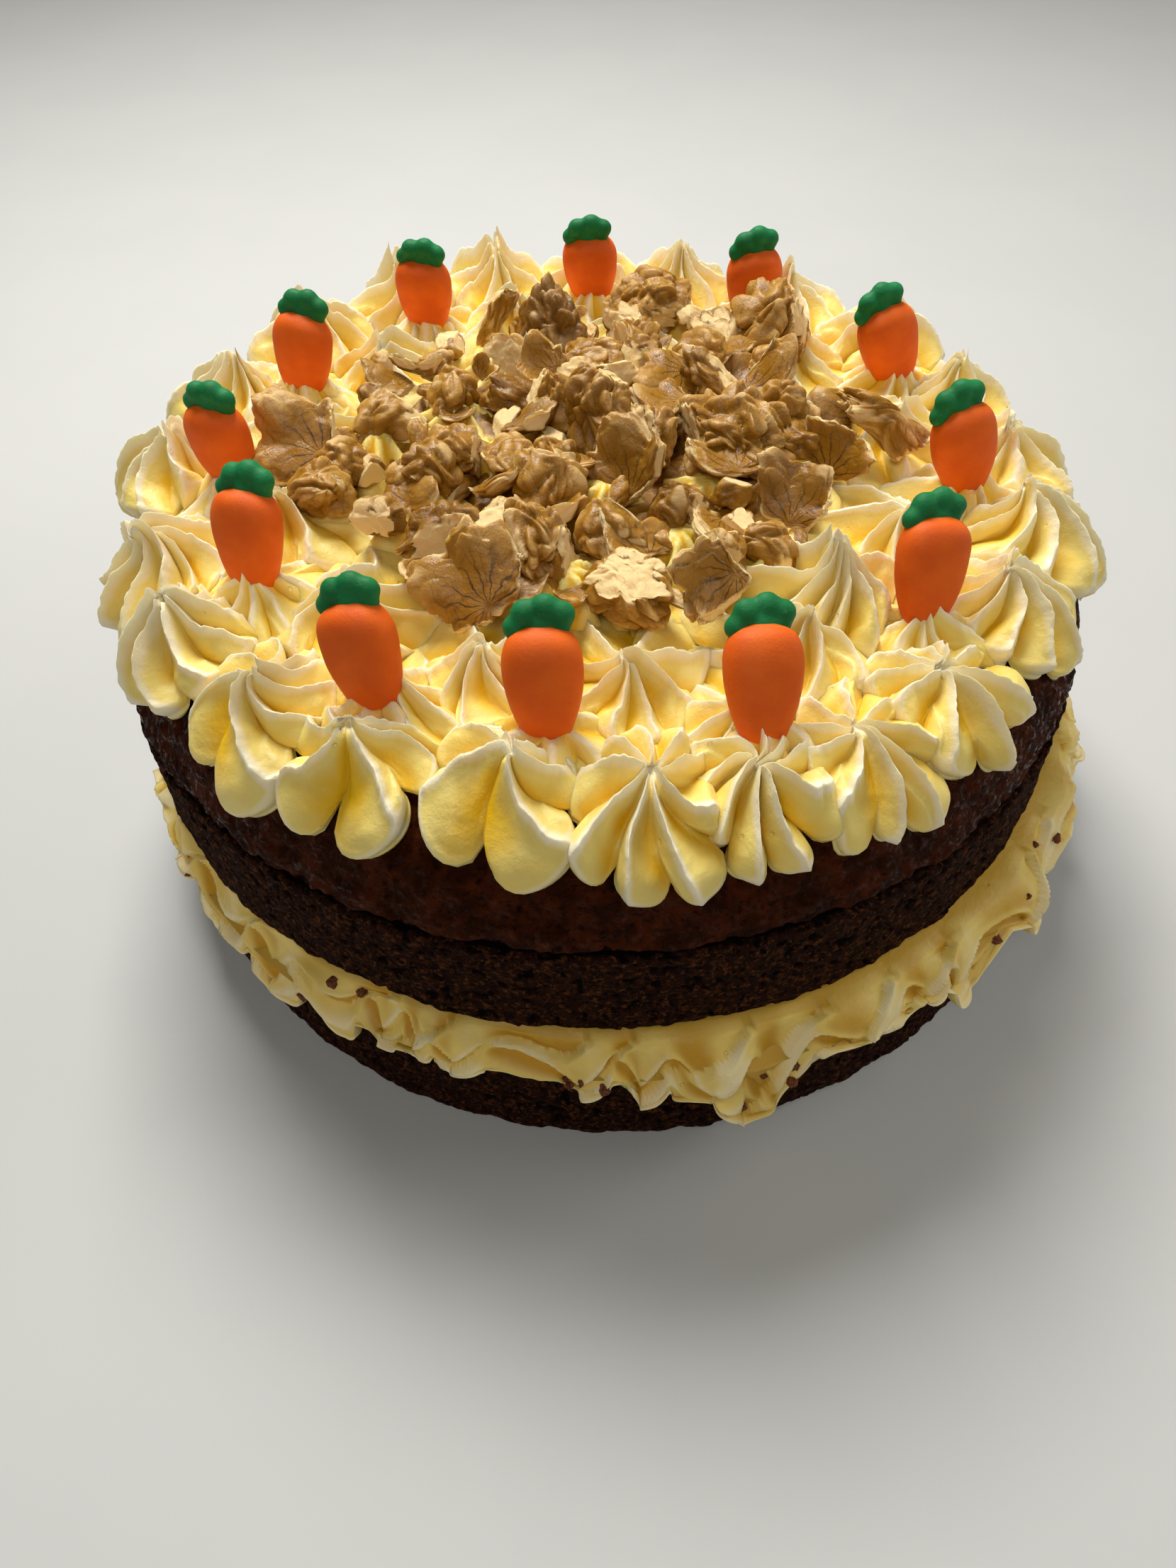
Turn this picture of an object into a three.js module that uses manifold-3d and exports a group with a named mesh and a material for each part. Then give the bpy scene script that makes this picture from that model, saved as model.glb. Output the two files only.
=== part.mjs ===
// A two-layer carrot cake: two dark sponges with a squeezed-out cream filling between them,
// piped icing stars all over the top, twelve upright sugar carrots and a heap of walnut pieces.
// Millimetres, +Z up. The origin is the middle of the flat face the cake rests on, and -Y is
// its front.

import * as THREE from 'three';
import { mergeVertices } from 'three/addons/utils/BufferGeometryUtils.js';
import Module from 'manifold-3d';

const wasm = await Module();
wasm.setup();

// ---------------------------------------------------------------- driving dimensions

const TAU = Math.PI * 2;
const GOLDEN_ANGLE = Math.PI * (3 - Math.sqrt(5));
const DEGREE = Math.PI / 180;
const GAP = 0.3; // clearance between two pieces that touch

// Waves round the cake, used for all that isn't quite round: count, size and start of each.
const LAYER_WAVES = [[2, 0.004, 0.6], [3, 0.003, -1]]; // shares of the radius
const CREAM_WAVES = [[1, 1.2, 0.6], [17, 1.1, -0.57], [26, 1.7, -1.57]];
const HEAP_WAVES = [[5, 0.03, 1]]; // shares of the core's radius

const LOWER_SPONGE = { radius: 102.4, height: 28, edge: 2.5, shiftX: 1.2, segments: 40 };
const FILLING = {
  bottom: LOWER_SPONGE.height + GAP,
  top: 36.7,
  wall: LOWER_SPONGE.radius + 0.5, // where it hangs down past the lower sponge
  reach: 105, // how far the cream stands out, on average
  shiftX: 1.2,
  segments: 80,
};
const UPPER_SPONGE = {
  bottom: FILLING.top + GAP,
  radius: 100, // crumb side, up to the seam
  edge: 1.6,
  seamRadius: 97,
  seamHeight: 61.4, // the groove under the risen crust
  seamWidth: 3.4,
  crustRadius: 98.8,
  shoulderRadius: 16, // rounding from the crust's side to its top
  top: 83.2,
  dome: 1.3,
  shiftX: -2.2, // the layer sits a little to the left of the lower one
  segments: 42,
};
UPPER_SPONGE.flat = UPPER_SPONGE.crustRadius - UPPER_SPONGE.shoulderRadius;
const SHOULDER_WALK = 23; // distance walked over the shoulder, down to the crust's upright side

const STAR_LOBES = 8;
const VALLEY_REACH = 0.86; // a groove between two lobes, as a share of the lobes' reach
const OUTER_STARS = {
  // places round the rim, in degrees, as they were piped by hand
  angles: [
    -160, -146, -130, -116, -99, -84, -72, -60, -46, -29, -12,
    3, 21, 39, 57, 76, 92, 108, 124, 141, 159, 179,
  ],
  ring: 84,
  frontShift: 2.2, // the front ones stand closer to the rim
  rightInset: 2.2, // and the ones on the right further in
  height: 13.2,
  backRise: 3.2, // the ones at the back were drawn up higher
  reach: 14.6,
  droop: 1, // extra reach down over the shoulder
  vary: { ring: 0.8, reach: 0.9, droop: 1.4, height: 1.4, turn: 0.5, twist: 0.25 },
};
const SEAT_STARS = { ring: 74, reach: 21, height: 9 }; // each has a carrot pressed into it
const INNER_STARS = { ring: 62, reach: 22, height: 12 };
const LARGE_STAR = { angle: -45 * DEGREE, ring: 59, reach: 25, height: 18, push: 1.4 };
const BED = { radius: 52, thickness: 7.4, flatShare: 0.78 };
const TIP_CURL = 1.4; // how far a star's tip is drawn aside
const SHOULDER_LIFT = 0.7; // extra room under a star where the crust bends
const NEIGHBOUR_REACH = 60; // stars further apart than this never meet

const CARROT = {
  length: 26,
  width: 12.8,
  depth: 9,
  tip: 83.8, // height of the pointed end, sunk in the icing
  frontRise: 0.8, // the ones in front are pressed in less deep
  sides: 10,
  turn: 20 * DEGREE, // how far the ones at the sides face outwards
};
// angle and distance from the middle, then the lean to the right and to the back, in degrees
const CARROT_PLACES = [
  [-118, 79, -10, 18],
  [-97, 77, -3, 22],
  [-72, 81, -3, 34],
  [-41, 73, 1, 22],
  [-5, 72, -16, 0],
  [29, 74, -20, -4],
  [62, 73, -4, -11],
  [93, 76, -3, -19],
  [125, 75, 2, -15],
  [156, 74, 9, 0],
  [-177, 75, -1, -8],
  [-149, 75, 3, 15],
];

const HEAP = {
  middle: new THREE.Vector2(-4, 2),
  reach: 50, // where the outermost pieces lie
  coreReach: 54, // the bare core under them
  coreTop: 94.4,
  places: 44, // evenly spread, and left empty where a shown piece lies
  spacing: 9,
  half: 7.6, // half length of a usual piece
  lobes: 0.2, // how deep its three lobes are
  slim: 0.85, // its width and thickness as shares of its length
  thin: 0.62,
};
// the walnut pieces that stand out: x, y, half length, then how steeply they stand, in degrees
const SHOWN_WALNUTS = [
  [-61, -2, 9, 35],
  [-55, -16, 6, 10],
  [-24, -47, 9.5, 45],
  [-12, -38, 7.5, 55],
  [3, -46, 7.5, 15],
  [17, -47, 7.5, 60],
  [35, -22, 7.5, 30],
  [43, -7, 7.5, 55],
  [55, 3, 10, 40],
  [24, -2, 10.5, 5],
  [4, -15, 8, 50],
  [-2, 1, 7.5, 50],
  [-12, 39, 8, 60],
  [-25, 49, 7, 70],
  [9, 55, 8.5, 15],
  [36, 43, 8.5, 60],
];

const COLOURS = {
  crumb: { color: 0x4a2714, roughness: 0.9 },
  cream: { color: 0xe3d9a4, roughness: 0.6 },
  icing: { color: 0xf0e08c, roughness: 0.5 },
  carrot: { color: 0xd95a0c, roughness: 0.7 },
  walnut: { color: 0x9c7038, roughness: 0.6 },
};

// ---------------------------------------------------------------- small tools

/** A repeatable value between -1 and 1 for two whole numbers. */
function wander(index, kind) {
  const value = Math.sin(12.9898 * (index + 1) + 78.233 * (kind + 1)) * 43758.5453;
  return 2 * (value - Math.floor(value)) - 1;
}

function mix(a, b, share) {
  return a + (b - a) * share;
}

/** The height at an angle of a list of waves, each with its count, size and start. */
function waves(list, angle) {
  return list.reduce((sum, [count, size, start]) => sum + size * Math.cos(count * angle + start), 0);
}

/** Moves every point of a geometry by a function that changes the vector it is given. */
function reshape(geometry, move) {
  const places = geometry.attributes.position;
  const point = new THREE.Vector3();
  for (let i = 0; i < places.count; i += 1) {
    point.fromBufferAttribute(places, i);
    move(point, i);
    places.setXYZ(i, point.x, point.y, point.z);
  }
  return geometry;
}

/** Turns a closed geometry into a solid that can be cut and joined. */
function solid(geometry) {
  geometry.deleteAttribute('normal');
  geometry.deleteAttribute('uv');
  const merged = mergeVertices(geometry, 1e-4);
  const corners = [];
  const index = merged.index.array;
  for (let i = 0; i < index.length; i += 3) {
    const [a, b, c] = [index[i], index[i + 1], index[i + 2]];
    if (a !== b && b !== c && c !== a) corners.push(a, b, c);
  }
  return new wasm.Manifold(new wasm.Mesh({
    numProp: 3,
    vertProperties: new Float32Array(merged.attributes.position.array),
    triVerts: new Uint32Array(corners),
  }));
}

/** The largest body of a solid, without the crumbs that a cut can leave. */
function largestBody(shape) {
  return shape.decompose().reduce((best, body) => (body.volume() > best.volume() ? body : best));
}

/** A revolved profile, given as [radius, height] pairs from the axis back to the axis. */
function revolved(profile, segments) {
  const points = profile.map(([radius, height]) => new THREE.Vector2(radius, height));
  return new THREE.LatheGeometry(points, segments).rotateX(Math.PI / 2);
}

function boxesMeet(a, b) {
  return [0, 1, 2].every((axis) => a.min[axis] <= b.max[axis] && b.min[axis] <= a.max[axis]);
}

/** Cuts every tool whose box meets the shape's box out of the shape. */
function cutBy(shape, tools) {
  const box = shape.boundingBox();
  return tools
    .filter((tool) => boxesMeet(box, tool.boundingBox()))
    .reduce((rest, tool) => rest.subtract(tool), shape);
}

const cake = new THREE.Group();

function addPiece(name, shape, look) {
  const mesh = shape.getMesh();
  const geometry = new THREE.BufferGeometry();
  geometry.setAttribute('position', new THREE.BufferAttribute(mesh.vertProperties, 3));
  geometry.setIndex(new THREE.BufferAttribute(mesh.triVerts, 1));
  geometry.computeVertexNormals();
  const piece = new THREE.Mesh(geometry, new THREE.MeshStandardMaterial({ ...look, metalness: 0 }));
  piece.name = name;
  cake.add(piece);
}

// ---------------------------------------------------------------- the sponges

/** How far from round a layer is at an angle. */
function unevenness(angle) {
  return 1 + waves(LAYER_WAVES, angle);
}

function layerShape(profile, segments, shiftX) {
  return reshape(revolved(profile, segments), (point) => {
    const angle = Math.atan2(point.y, point.x);
    const swell = unevenness(angle);
    point.set(point.x * swell + shiftX, point.y * swell, point.z);
  });
}

function lowerSponge() {
  const { radius, height, edge, segments, shiftX } = LOWER_SPONGE;
  const profile = [
    [0, 0],
    [radius - edge, 0],
    [radius, edge],
    [radius, height - edge],
    [radius - edge, height],
    [0, height],
  ];
  return solid(layerShape(profile, segments, shiftX));
}

/** The crust's outline by the distance walked over it from its middle. */
function crustAt(distance) {
  const { flat, top, dome, shoulderRadius, crustRadius } = UPPER_SPONGE;
  const edgeTilt = Math.atan(2 * dome / flat);
  if (distance <= flat) {
    const share = distance / flat;
    return { radius: distance, height: top - dome * share * share, tilt: edgeTilt * share };
  }
  const tilt = Math.min(edgeTilt + (distance - flat) / shoulderRadius, Math.PI / 2);
  const arcEnd = flat + (Math.PI / 2 - edgeTilt) * shoulderRadius;
  return {
    radius: Math.min(flat + shoulderRadius * (Math.sin(tilt) - Math.sin(edgeTilt)), crustRadius),
    height: top - dome - shoulderRadius * (Math.cos(edgeTilt) - Math.cos(tilt))
      - Math.max(0, distance - arcEnd),
    tilt,
  };
}

function upperSponge() {
  const { bottom, radius, edge, crustRadius, flat, segments, shiftX } = UPPER_SPONGE;
  const { seamRadius, seamHeight, seamWidth } = UPPER_SPONGE;
  const shoulder = [0, 0.33, 0.66, 1].map((share) => {
    const { radius: r, height } = crustAt(flat + share * SHOULDER_WALK);
    return [r, height];
  });
  const profile = [
    [0, bottom],
    [radius - edge, bottom],
    [radius, bottom + edge],
    [radius, seamHeight - seamWidth * 0.65],
    [seamRadius, seamHeight],
    [crustRadius, seamHeight + seamWidth * 0.35],
    ...shoulder.reverse(),
    [0, crustAt(0).height],
  ];
  return solid(layerShape(profile, segments, shiftX));
}

// ---------------------------------------------------------------- the filling

// where the cream hangs down the front: angle and half width in degrees, then the drop
const CREAM_LOBES = [
  [-139, 7, 5],
  [-129, 5, 6],
  [-120, 4.5, 10],
  [-92, 4.5, 7],
  [-84, 4.5, 12],
  [-72, 5, 21],
  [-57, 5, 4],
  [-47, 7, 12],
  [-36, 6, 9],
];

/** How far the cream hangs below the gap at an angle: hand-set in front, waves behind. */
function creamDrop(angle) {
  const degrees = angle / DEGREE;
  let drop = 1.2 + 1.6 * (1 + Math.sin(9 * angle)) * (1 + Math.cos(angle - Math.PI / 2)) / 2;
  for (const [middle, width, depth] of CREAM_LOBES) {
    const away = (degrees - middle) / width;
    drop = Math.max(drop, depth * Math.exp(-away * away));
  }
  return drop;
}

/** The ruffled edge's distance from the axis at an angle. */
function creamReach(angle) {
  return FILLING.reach + waves(CREAM_WAVES, angle);
}

function filling() {
  const { bottom, top, segments, shiftX } = FILLING;
  // [distance, height] of each profile point, found from the angle
  const outline = [
    () => [0, bottom],
    (angle, wall) => [wall, bottom],
    (angle, wall) => [wall, bottom - creamDrop(angle) * 0.8],
    (angle, wall) => [mix(wall, creamReach(angle), 0.6), bottom - creamDrop(angle)],
    (angle) => [creamReach(angle), mix(bottom, top, 0.35) - creamDrop(angle) * 0.45],
    (angle) => [mix(UPPER_SPONGE.radius, creamReach(angle), 0.45), top - 0.6],
    () => [UPPER_SPONGE.radius - 1.5, top],
    () => [0, top],
  ];
  const template = outline.map((point, i) => [i === 0 || i === outline.length - 1 ? 0 : 50, i]);
  return solid(reshape(revolved(template, segments), (point) => {
    const angle = Math.atan2(point.y, point.x);
    const wall = FILLING.wall * unevenness(angle) + GAP;
    const [distance, height] = outline[Math.round(point.z)](angle, wall);
    point.set(distance * Math.cos(angle) + shiftX, distance * Math.sin(angle), height);
  }));
}

// ---------------------------------------------------------------- the piped stars
// Stars are laid out on the crust as if it were rolled out flat: a place's distance from the
// middle is the distance walked over the crust, and heights are taken square to the crust.

function onCrust(x, y, height) {
  const angle = Math.atan2(y, x);
  const crust = crustAt(Math.hypot(x, y));
  const out = crust.radius * unevenness(angle) + height * Math.sin(crust.tilt);
  return new THREE.Vector3(
    out * Math.cos(angle) + UPPER_SPONGE.shiftX,
    out * Math.sin(angle),
    crust.height + height * Math.cos(crust.tilt),
  );
}

function polarStar(angle, ring, rest) {
  return { x: ring * Math.cos(angle), y: ring * Math.sin(angle), push: 1, ...rest };
}

const outerStars = OUTER_STARS.angles.map((degrees, i) => {
  const angle = degrees * DEGREE;
  const { vary } = OUTER_STARS;
  const ring = OUTER_STARS.ring - OUTER_STARS.frontShift * Math.sin(angle)
    - OUTER_STARS.rightInset * Math.max(0, Math.cos(angle));
  const height = OUTER_STARS.height + OUTER_STARS.backRise * Math.max(0, Math.sin(angle));
  return polarStar(angle, ring + vary.ring * wander(i, 0), {
    reach: OUTER_STARS.reach + vary.reach * wander(i, 1),
    droop: OUTER_STARS.droop + vary.droop * wander(i, 2),
    height: height + vary.height * wander(i, 3),
    turn: angle + vary.turn * wander(i, 4),
    twist: vary.twist * wander(i, 5),
    curl: wander(i, 6) * Math.PI,
  });
});

function carrotSeat([degrees, distance]) {
  const angle = degrees * DEGREE;
  return new THREE.Vector2(distance * Math.cos(angle), distance * Math.sin(angle));
}

const seatStars = CARROT_PLACES.map((place, i) => {
  const seat = carrotSeat(place).sub(new THREE.Vector2(UPPER_SPONGE.shiftX, 0));
  return polarStar(seat.angle(), Math.min(seat.length(), SEAT_STARS.ring), {
    reach: SEAT_STARS.reach,
    droop: 0,
    height: SEAT_STARS.height + 0.8 * wander(i, 7),
    turn: i * 1.7,
    twist: 0.2 * wander(i, 8),
    curl: 0,
  });
});

const largeStar = polarStar(LARGE_STAR.angle, LARGE_STAR.ring, {
  reach: LARGE_STAR.reach,
  push: LARGE_STAR.push,
  droop: 0,
  height: LARGE_STAR.height,
  turn: LARGE_STAR.angle,
  twist: 0.1,
  curl: 2.6,
});

// one star in each space between two carrots, apart from where the large one stands
const innerStars = CARROT_PLACES.map(([degrees], i) => {
  const next = CARROT_PLACES[(i + 1) % CARROT_PLACES.length][0];
  const angle = (degrees + (((next - degrees) % 360) + 360) % 360 / 2) * DEGREE;
  return polarStar(angle, INNER_STARS.ring + 1.5 * wander(i, 9), {
    reach: INNER_STARS.reach,
    droop: 0,
    height: INNER_STARS.height + wander(i, 10),
    turn: i * 2.3,
    twist: 0.3 * wander(i, 11),
    curl: wander(i, 12) * Math.PI,
  });
}).filter((star) => Math.hypot(star.x - largeStar.x, star.y - largeStar.y) > LARGE_STAR.reach / 2);

const allStars = [...outerStars, ...seatStars, ...innerStars, largeStar];

/** How far a star may spread at an angle before it meets a neighbour. */
function roomAt(star, angle) {
  let room = Infinity;
  for (const other of allStars) {
    const away = Math.hypot(other.x - star.x, other.y - star.y);
    const facing = Math.cos(angle - Math.atan2(other.y - star.y, other.x - star.x));
    if (other === star || away > NEIGHBOUR_REACH || facing < 0.05) continue;
    const middle = away * star.push / (star.push + other.push);
    room = Math.min(room, (middle - GAP / 2) / facing);
  }
  return room;
}

// How a star is built up: top gives a share of the reach, then the height there of a lobe's
// ridge and of the groove beside it, foot gives the shares where its underside has points.
const RIM_STAR = {
  top: [[0, 1, 1], [0.3, 0.62, 0.4], [0.72, 0.46, 0.18], [1, 0.2, 0.1]],
  foot: [0.88, 0.45, 0],
  spokes: STAR_LOBES * 2,
};
const FLAT_STAR = {
  top: [[0, 1, 1], [0.45, 0.55, 0.28], [1, 0.2, 0.1]],
  foot: [0.88, 0],
  spokes: STAR_LOBES * 2,
};
const STAR_COVER = { top: [[0, 1, 1], [1, 0.3, 0.3]], foot: [1, 0], spokes: STAR_LOBES * 2 };

/** One piped star; grow makes it larger all round, as a cutter for what touches it. */
function starShape(star, { top, foot, spokes }, grow = 0) {
  const template = [
    ...top.map(([share], i) => [share, i]),
    ...foot.map((share, i) => [share, top.length + i]),
  ];
  const outwards = Math.atan2(star.y, star.x);
  return solid(reshape(revolved(template.reverse(), spokes), (point) => {
    const level = Math.round(point.z);
    const onTop = level < top.length;
    const share = onTop ? top[level][0] : foot[level - top.length];
    const spoke = Math.round((Math.atan2(point.y, point.x) / TAU) * spokes);
    const isRidge = spoke % (spokes / STAR_LOBES) === 0;
    const angle = (spoke / spokes) * TAU + star.turn + star.twist * (1 - share);
    const down = Math.max(0, Math.cos(angle - outwards)) ** 2;
    const lobe = (star.reach + star.droop * down) * (isRidge ? 1 : VALLEY_REACH);
    const spread = Math.min(lobe, roomAt(star, angle)) * share + grow * Math.min(1, share * 9);
    const x = star.x + spread * Math.cos(angle);
    const y = star.y + spread * Math.sin(angle);
    const bend = THREE.MathUtils.smoothstep(Math.hypot(x, y), UPPER_SPONGE.flat - 6, UPPER_SPONGE.flat + 4);
    const height = onTop
      ? star.height * (isRidge ? top[level][1] : top[level][2]) + grow
      : GAP + SHOULDER_LIFT * bend - grow;
    const aside = level === 0 ? TIP_CURL : 0;
    point.copy(onCrust(x + aside * Math.cos(star.curl), y + aside * Math.sin(star.curl), height));
  }));
}

function icingBed(grow = 0) {
  const radius = BED.radius + grow;
  const top = BED.thickness + grow;
  const flat = radius * BED.flatShare;
  const profile = [[0, GAP - grow], [radius, GAP - grow], [radius - 3, top / 2], [flat, top], [0, top]];
  return solid(reshape(revolved(profile, 18), (point) => point.copy(onCrust(point.x, point.y, point.z))));
}

/** The icing under the walnuts, with one more star in each space between two carrots. */
function icingCentre(cutters) {
  const whole = innerStars.reduce((shape, star) => shape.add(starShape(star, FLAT_STAR)), icingBed());
  return largestBody(cutBy(whole, cutters));
}

// ---------------------------------------------------------------- the sugar carrots

// share of the length, then half the width there, as a share of the carrot's half width
const CARROT_RINGS = [
  [0.25, 0.72],
  [0.56, 1],
  [0.71, 0.93],
  [0.79, 0.7],
  [0.88, 0.84],
  [0.97, 0.66],
];

/** One moulded sugar carrot with its lobed green top, upright with its point at the origin. */
function carrotShape(grow = 0) {
  const { length, width, depth, sides } = CARROT;
  const profile = [[0, 0], ...CARROT_RINGS.map(([share, half]) => [half, share]), [0, 1]];
  return reshape(revolved(profile, sides), (point) => {
    const half = Math.hypot(point.x, point.y);
    const angle = Math.atan2(point.y, point.x);
    const isCrown = point.z > 0.84 && half > 0;
    const lobe = isCrown ? 1 + 0.07 * Math.cos(3 * angle + Math.PI / 2) : 1;
    const side = half * lobe + (half > 0 ? (grow * 2) / width : 0);
    const lift = isCrown ? 0.6 * Math.cos(3 * angle + Math.PI / 2) : 0;
    const end = (point.z - 0.5) * 2 * grow;
    point.set(
      side * Math.cos(angle) * width / 2,
      side * Math.sin(angle) * depth / 2,
      point.z * length + lift + end,
    );
  });
}

/** Stands a carrot in its seat, leaning as its row in the list of places says. */
function standingCarrot(place, grow) {
  const [, , toRight, toBack] = place;
  const seat = carrotSeat(place);
  const faceTurn = CARROT.turn * Math.cos(place[0] * DEGREE);
  const geometry = carrotShape(grow)
    .rotateZ(faceTurn)
    .rotateX(-toBack * DEGREE)
    .rotateY(toRight * DEGREE);
  const tip = CARROT.tip - CARROT.frontRise * Math.sin(place[0] * DEGREE);
  return solid(geometry.translate(seat.x, seat.y, tip));
}

// ---------------------------------------------------------------- the walnuts

/** Where the usual pieces lie: round and round outwards, apart from where a shown one is. */
function usualWalnuts() {
  const places = [];
  for (let i = 0; i < HEAP.places; i += 1) {
    const ring = HEAP.reach * Math.sqrt((i + 0.6) / HEAP.places);
    const angle = i * GOLDEN_ANGLE + 0.2 * wander(i, 22);
    const x = HEAP.middle.x + ring * Math.cos(angle);
    const y = HEAP.middle.y + ring * Math.sin(angle);
    const isFree = SHOWN_WALNUTS.every(([sx, sy]) => Math.hypot(x - sx, y - sy) > HEAP.spacing);
    if (isFree) places.push([x, y, HEAP.half * (1 + 0.18 * wander(i, 20)), 30 * wander(i, 23)]);
  }
  return places;
}

/** A walnut piece: a lump with the rounded lobes of a kernel. */
function walnutPiece([x, y, half, steep], i) {
  const ball = new THREE.IcosahedronGeometry(1, 0);
  ball.deleteAttribute('normal');
  ball.deleteAttribute('uv');
  const lump = reshape(mergeVertices(ball, 1e-4), (point) => {
    const angle = Math.atan2(point.y, point.x);
    point.multiplyScalar(half * (1 + HEAP.lobes * Math.cos(3 * angle + i)));
    point.y *= HEAP.slim + 0.12 * wander(i, 21);
    point.z *= HEAP.thin;
  });
  lump.rotateX(steep * DEGREE).rotateY(0.4 * wander(i, 24)).rotateZ(0.8 * wander(i, 25));
  const fromMiddle = Math.hypot(x - HEAP.middle.x, y - HEAP.middle.y) / HEAP.reach;
  const stands = 0.35 * half * Math.sin(Math.abs(steep) * DEGREE);
  const height = HEAP.coreTop + mix(2, -1.6, fromMiddle) + stands + 0.6 * wander(i, 26);
  return solid(lump.translate(x, y, height));
}

function walnutCore() {
  const { middle, coreReach, coreTop } = HEAP;
  const underside = UPPER_SPONGE.top + BED.thickness + GAP;
  const side = mix(underside, coreTop, 0.5);
  const profile = [[0, underside], [0.97, underside], [1, side], [0.9, coreTop], [0, coreTop]];
  return solid(reshape(revolved(profile, 14), (point) => {
    const wavy = coreReach * (1 + waves(HEAP_WAVES, Math.atan2(point.y, point.x)));
    point.x = middle.x + wavy * point.x;
    point.y = middle.y + wavy * point.y;
  }));
}

function walnutHeap(cutters) {
  const pieces = [...SHOWN_WALNUTS, ...usualWalnuts()].map(walnutPiece);
  const heap = pieces.reduce((whole, piece) => whole.add(piece), walnutCore());
  return largestBody(cutBy(heap, cutters));
}

// ---------------------------------------------------------------- putting the cake together

function number(i) {
  return String(i + 1).padStart(2, '0');
}

const grownCarrots = CARROT_PLACES.map((place) => standingCarrot(place, GAP));
const largeStarCover = starShape(largeStar, STAR_COVER, GAP);

function addStars(name, stars, build) {
  stars.forEach((star, i) => {
    const shape = largestBody(cutBy(starShape(star, build), grownCarrots));
    addPiece(stars.length > 1 ? `${name}_${number(i)}` : name, shape, COLOURS.icing);
  });
}

addPiece('sponge_lower', lowerSponge(), COLOURS.crumb);
addPiece('filling', filling(), COLOURS.cream);
addPiece('sponge_upper', upperSponge(), COLOURS.crumb);
addStars('star_rim', outerStars, RIM_STAR);
addStars('star_seat', seatStars, FLAT_STAR);
addStars('star_large', [largeStar], RIM_STAR);

addPiece('icing_centre', icingCentre([largeStarCover, ...grownCarrots]), COLOURS.icing);

CARROT_PLACES.forEach((place, i) => {
  addPiece(`carrot_${number(i)}`, standingCarrot(place, 0), COLOURS.carrot);
});

const starCovers = [...seatStars, ...innerStars].map((star) => starShape(star, STAR_COVER, GAP));
const underWalnuts = [icingBed(GAP), ...starCovers, largeStarCover, ...grownCarrots];
addPiece('walnuts', walnutHeap(underWalnuts), COLOURS.walnut);

export default cake;
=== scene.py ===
"""A two-layer carrot cake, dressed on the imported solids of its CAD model.

Sizes are in millimetres, in the CAD model's frame: +Z up, -Y the cake's front, and the origin the
middle of the face it rests on. A mesh is turned into metres when it is made.
"""

from __future__ import annotations

import logging
import math
from dataclasses import dataclass, field
from enum import Enum, IntEnum

import bpy
import numpy as np
from mathutils import Matrix, Vector


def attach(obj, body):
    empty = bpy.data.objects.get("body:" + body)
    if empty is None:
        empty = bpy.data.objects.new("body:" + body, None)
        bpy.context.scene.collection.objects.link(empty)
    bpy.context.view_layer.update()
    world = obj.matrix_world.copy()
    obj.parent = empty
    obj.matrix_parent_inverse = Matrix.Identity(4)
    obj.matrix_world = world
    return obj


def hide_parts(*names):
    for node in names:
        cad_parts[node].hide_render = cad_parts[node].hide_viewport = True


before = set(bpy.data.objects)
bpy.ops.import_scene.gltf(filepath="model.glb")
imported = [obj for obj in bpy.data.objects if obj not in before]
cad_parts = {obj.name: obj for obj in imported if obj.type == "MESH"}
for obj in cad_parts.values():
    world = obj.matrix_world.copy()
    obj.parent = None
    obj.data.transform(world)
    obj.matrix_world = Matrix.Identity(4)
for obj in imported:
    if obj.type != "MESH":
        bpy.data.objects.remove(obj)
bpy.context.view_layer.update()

log = logging.getLogger("carrot_cake")

MM = 0.001
TAU = 2 * math.pi
GOLDEN_ANGLE = math.pi * (3 - math.sqrt(5))
GAP = 0.3  # clearance between icing and the sponge beside or under it
ROOT = "root"  # the one body that every piece rides on


# -------------------- small tools


class Draw(IntEnum):
    """What a repeatable value is used for. Up to NUT_HEIGHT the CAD model uses the same ones."""

    RIM_RING = 0
    RIM_REACH = 1
    RIM_DROOP = 2
    RIM_HEIGHT = 3
    RIM_TURN = 4
    RIM_TWIST = 5
    RIM_CURL = 6
    SEAT_HEIGHT = 7
    SEAT_TWIST = 8
    INNER_RING = 9
    INNER_HEIGHT = 10
    INNER_TWIST = 11
    INNER_CURL = 12
    NUT_HALF = 20
    NUT_WIDTH = 21
    NUT_ANGLE = 22
    NUT_STEEP = 23
    NUT_TILT = 24
    NUT_YAW = 25
    NUT_HEIGHT = 26
    NUT_SPIN = 27
    NUT_TOASTED = 28
    NUT_BEND = 29
    CHIP_HALF = 30
    CHIP_STEEP = 31
    CHIP_SPIN = 32
    CHIP_TOASTED = 33
    CHIP_SUNK = 34
    NUT_THERE = 35
    BED_TURN = 40
    BED_HEIGHT = 41
    COLLAR_REACH = 50
    COLLAR_HEIGHT = 51
    COLLAR_TWIST = 52


def wander(index: int, kind: Draw) -> float:
    """A repeatable value between -1 and 1, the one that the CAD model draws for the same numbers.

    Args:
        index: which piece the value is for.
        kind: what it is used for.

    Returns:
        The value.
    """
    value = math.sin(12.9898 * (index + 1) + 78.233 * (kind + 1)) * 43758.5453
    return 2 * (value - math.floor(value)) - 1


def waves(counts: tuple, angle: np.ndarray) -> np.ndarray:
    """Adds waves that run round the cake.

    Args:
        counts: the count, size and start of each wave.
        angle: where they are wanted, in radians.

    Returns:
        Their sum at each angle.
    """
    return sum(size * np.cos(count * angle + start) for count, size, start in counts)


def ease(low: float, high: float, value: np.ndarray) -> np.ndarray:
    """A smooth step from 0 at low to 1 at high."""
    share = np.clip((value - low) / (high - low), 0, 1)
    return share * share * (3 - 2 * share)


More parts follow.
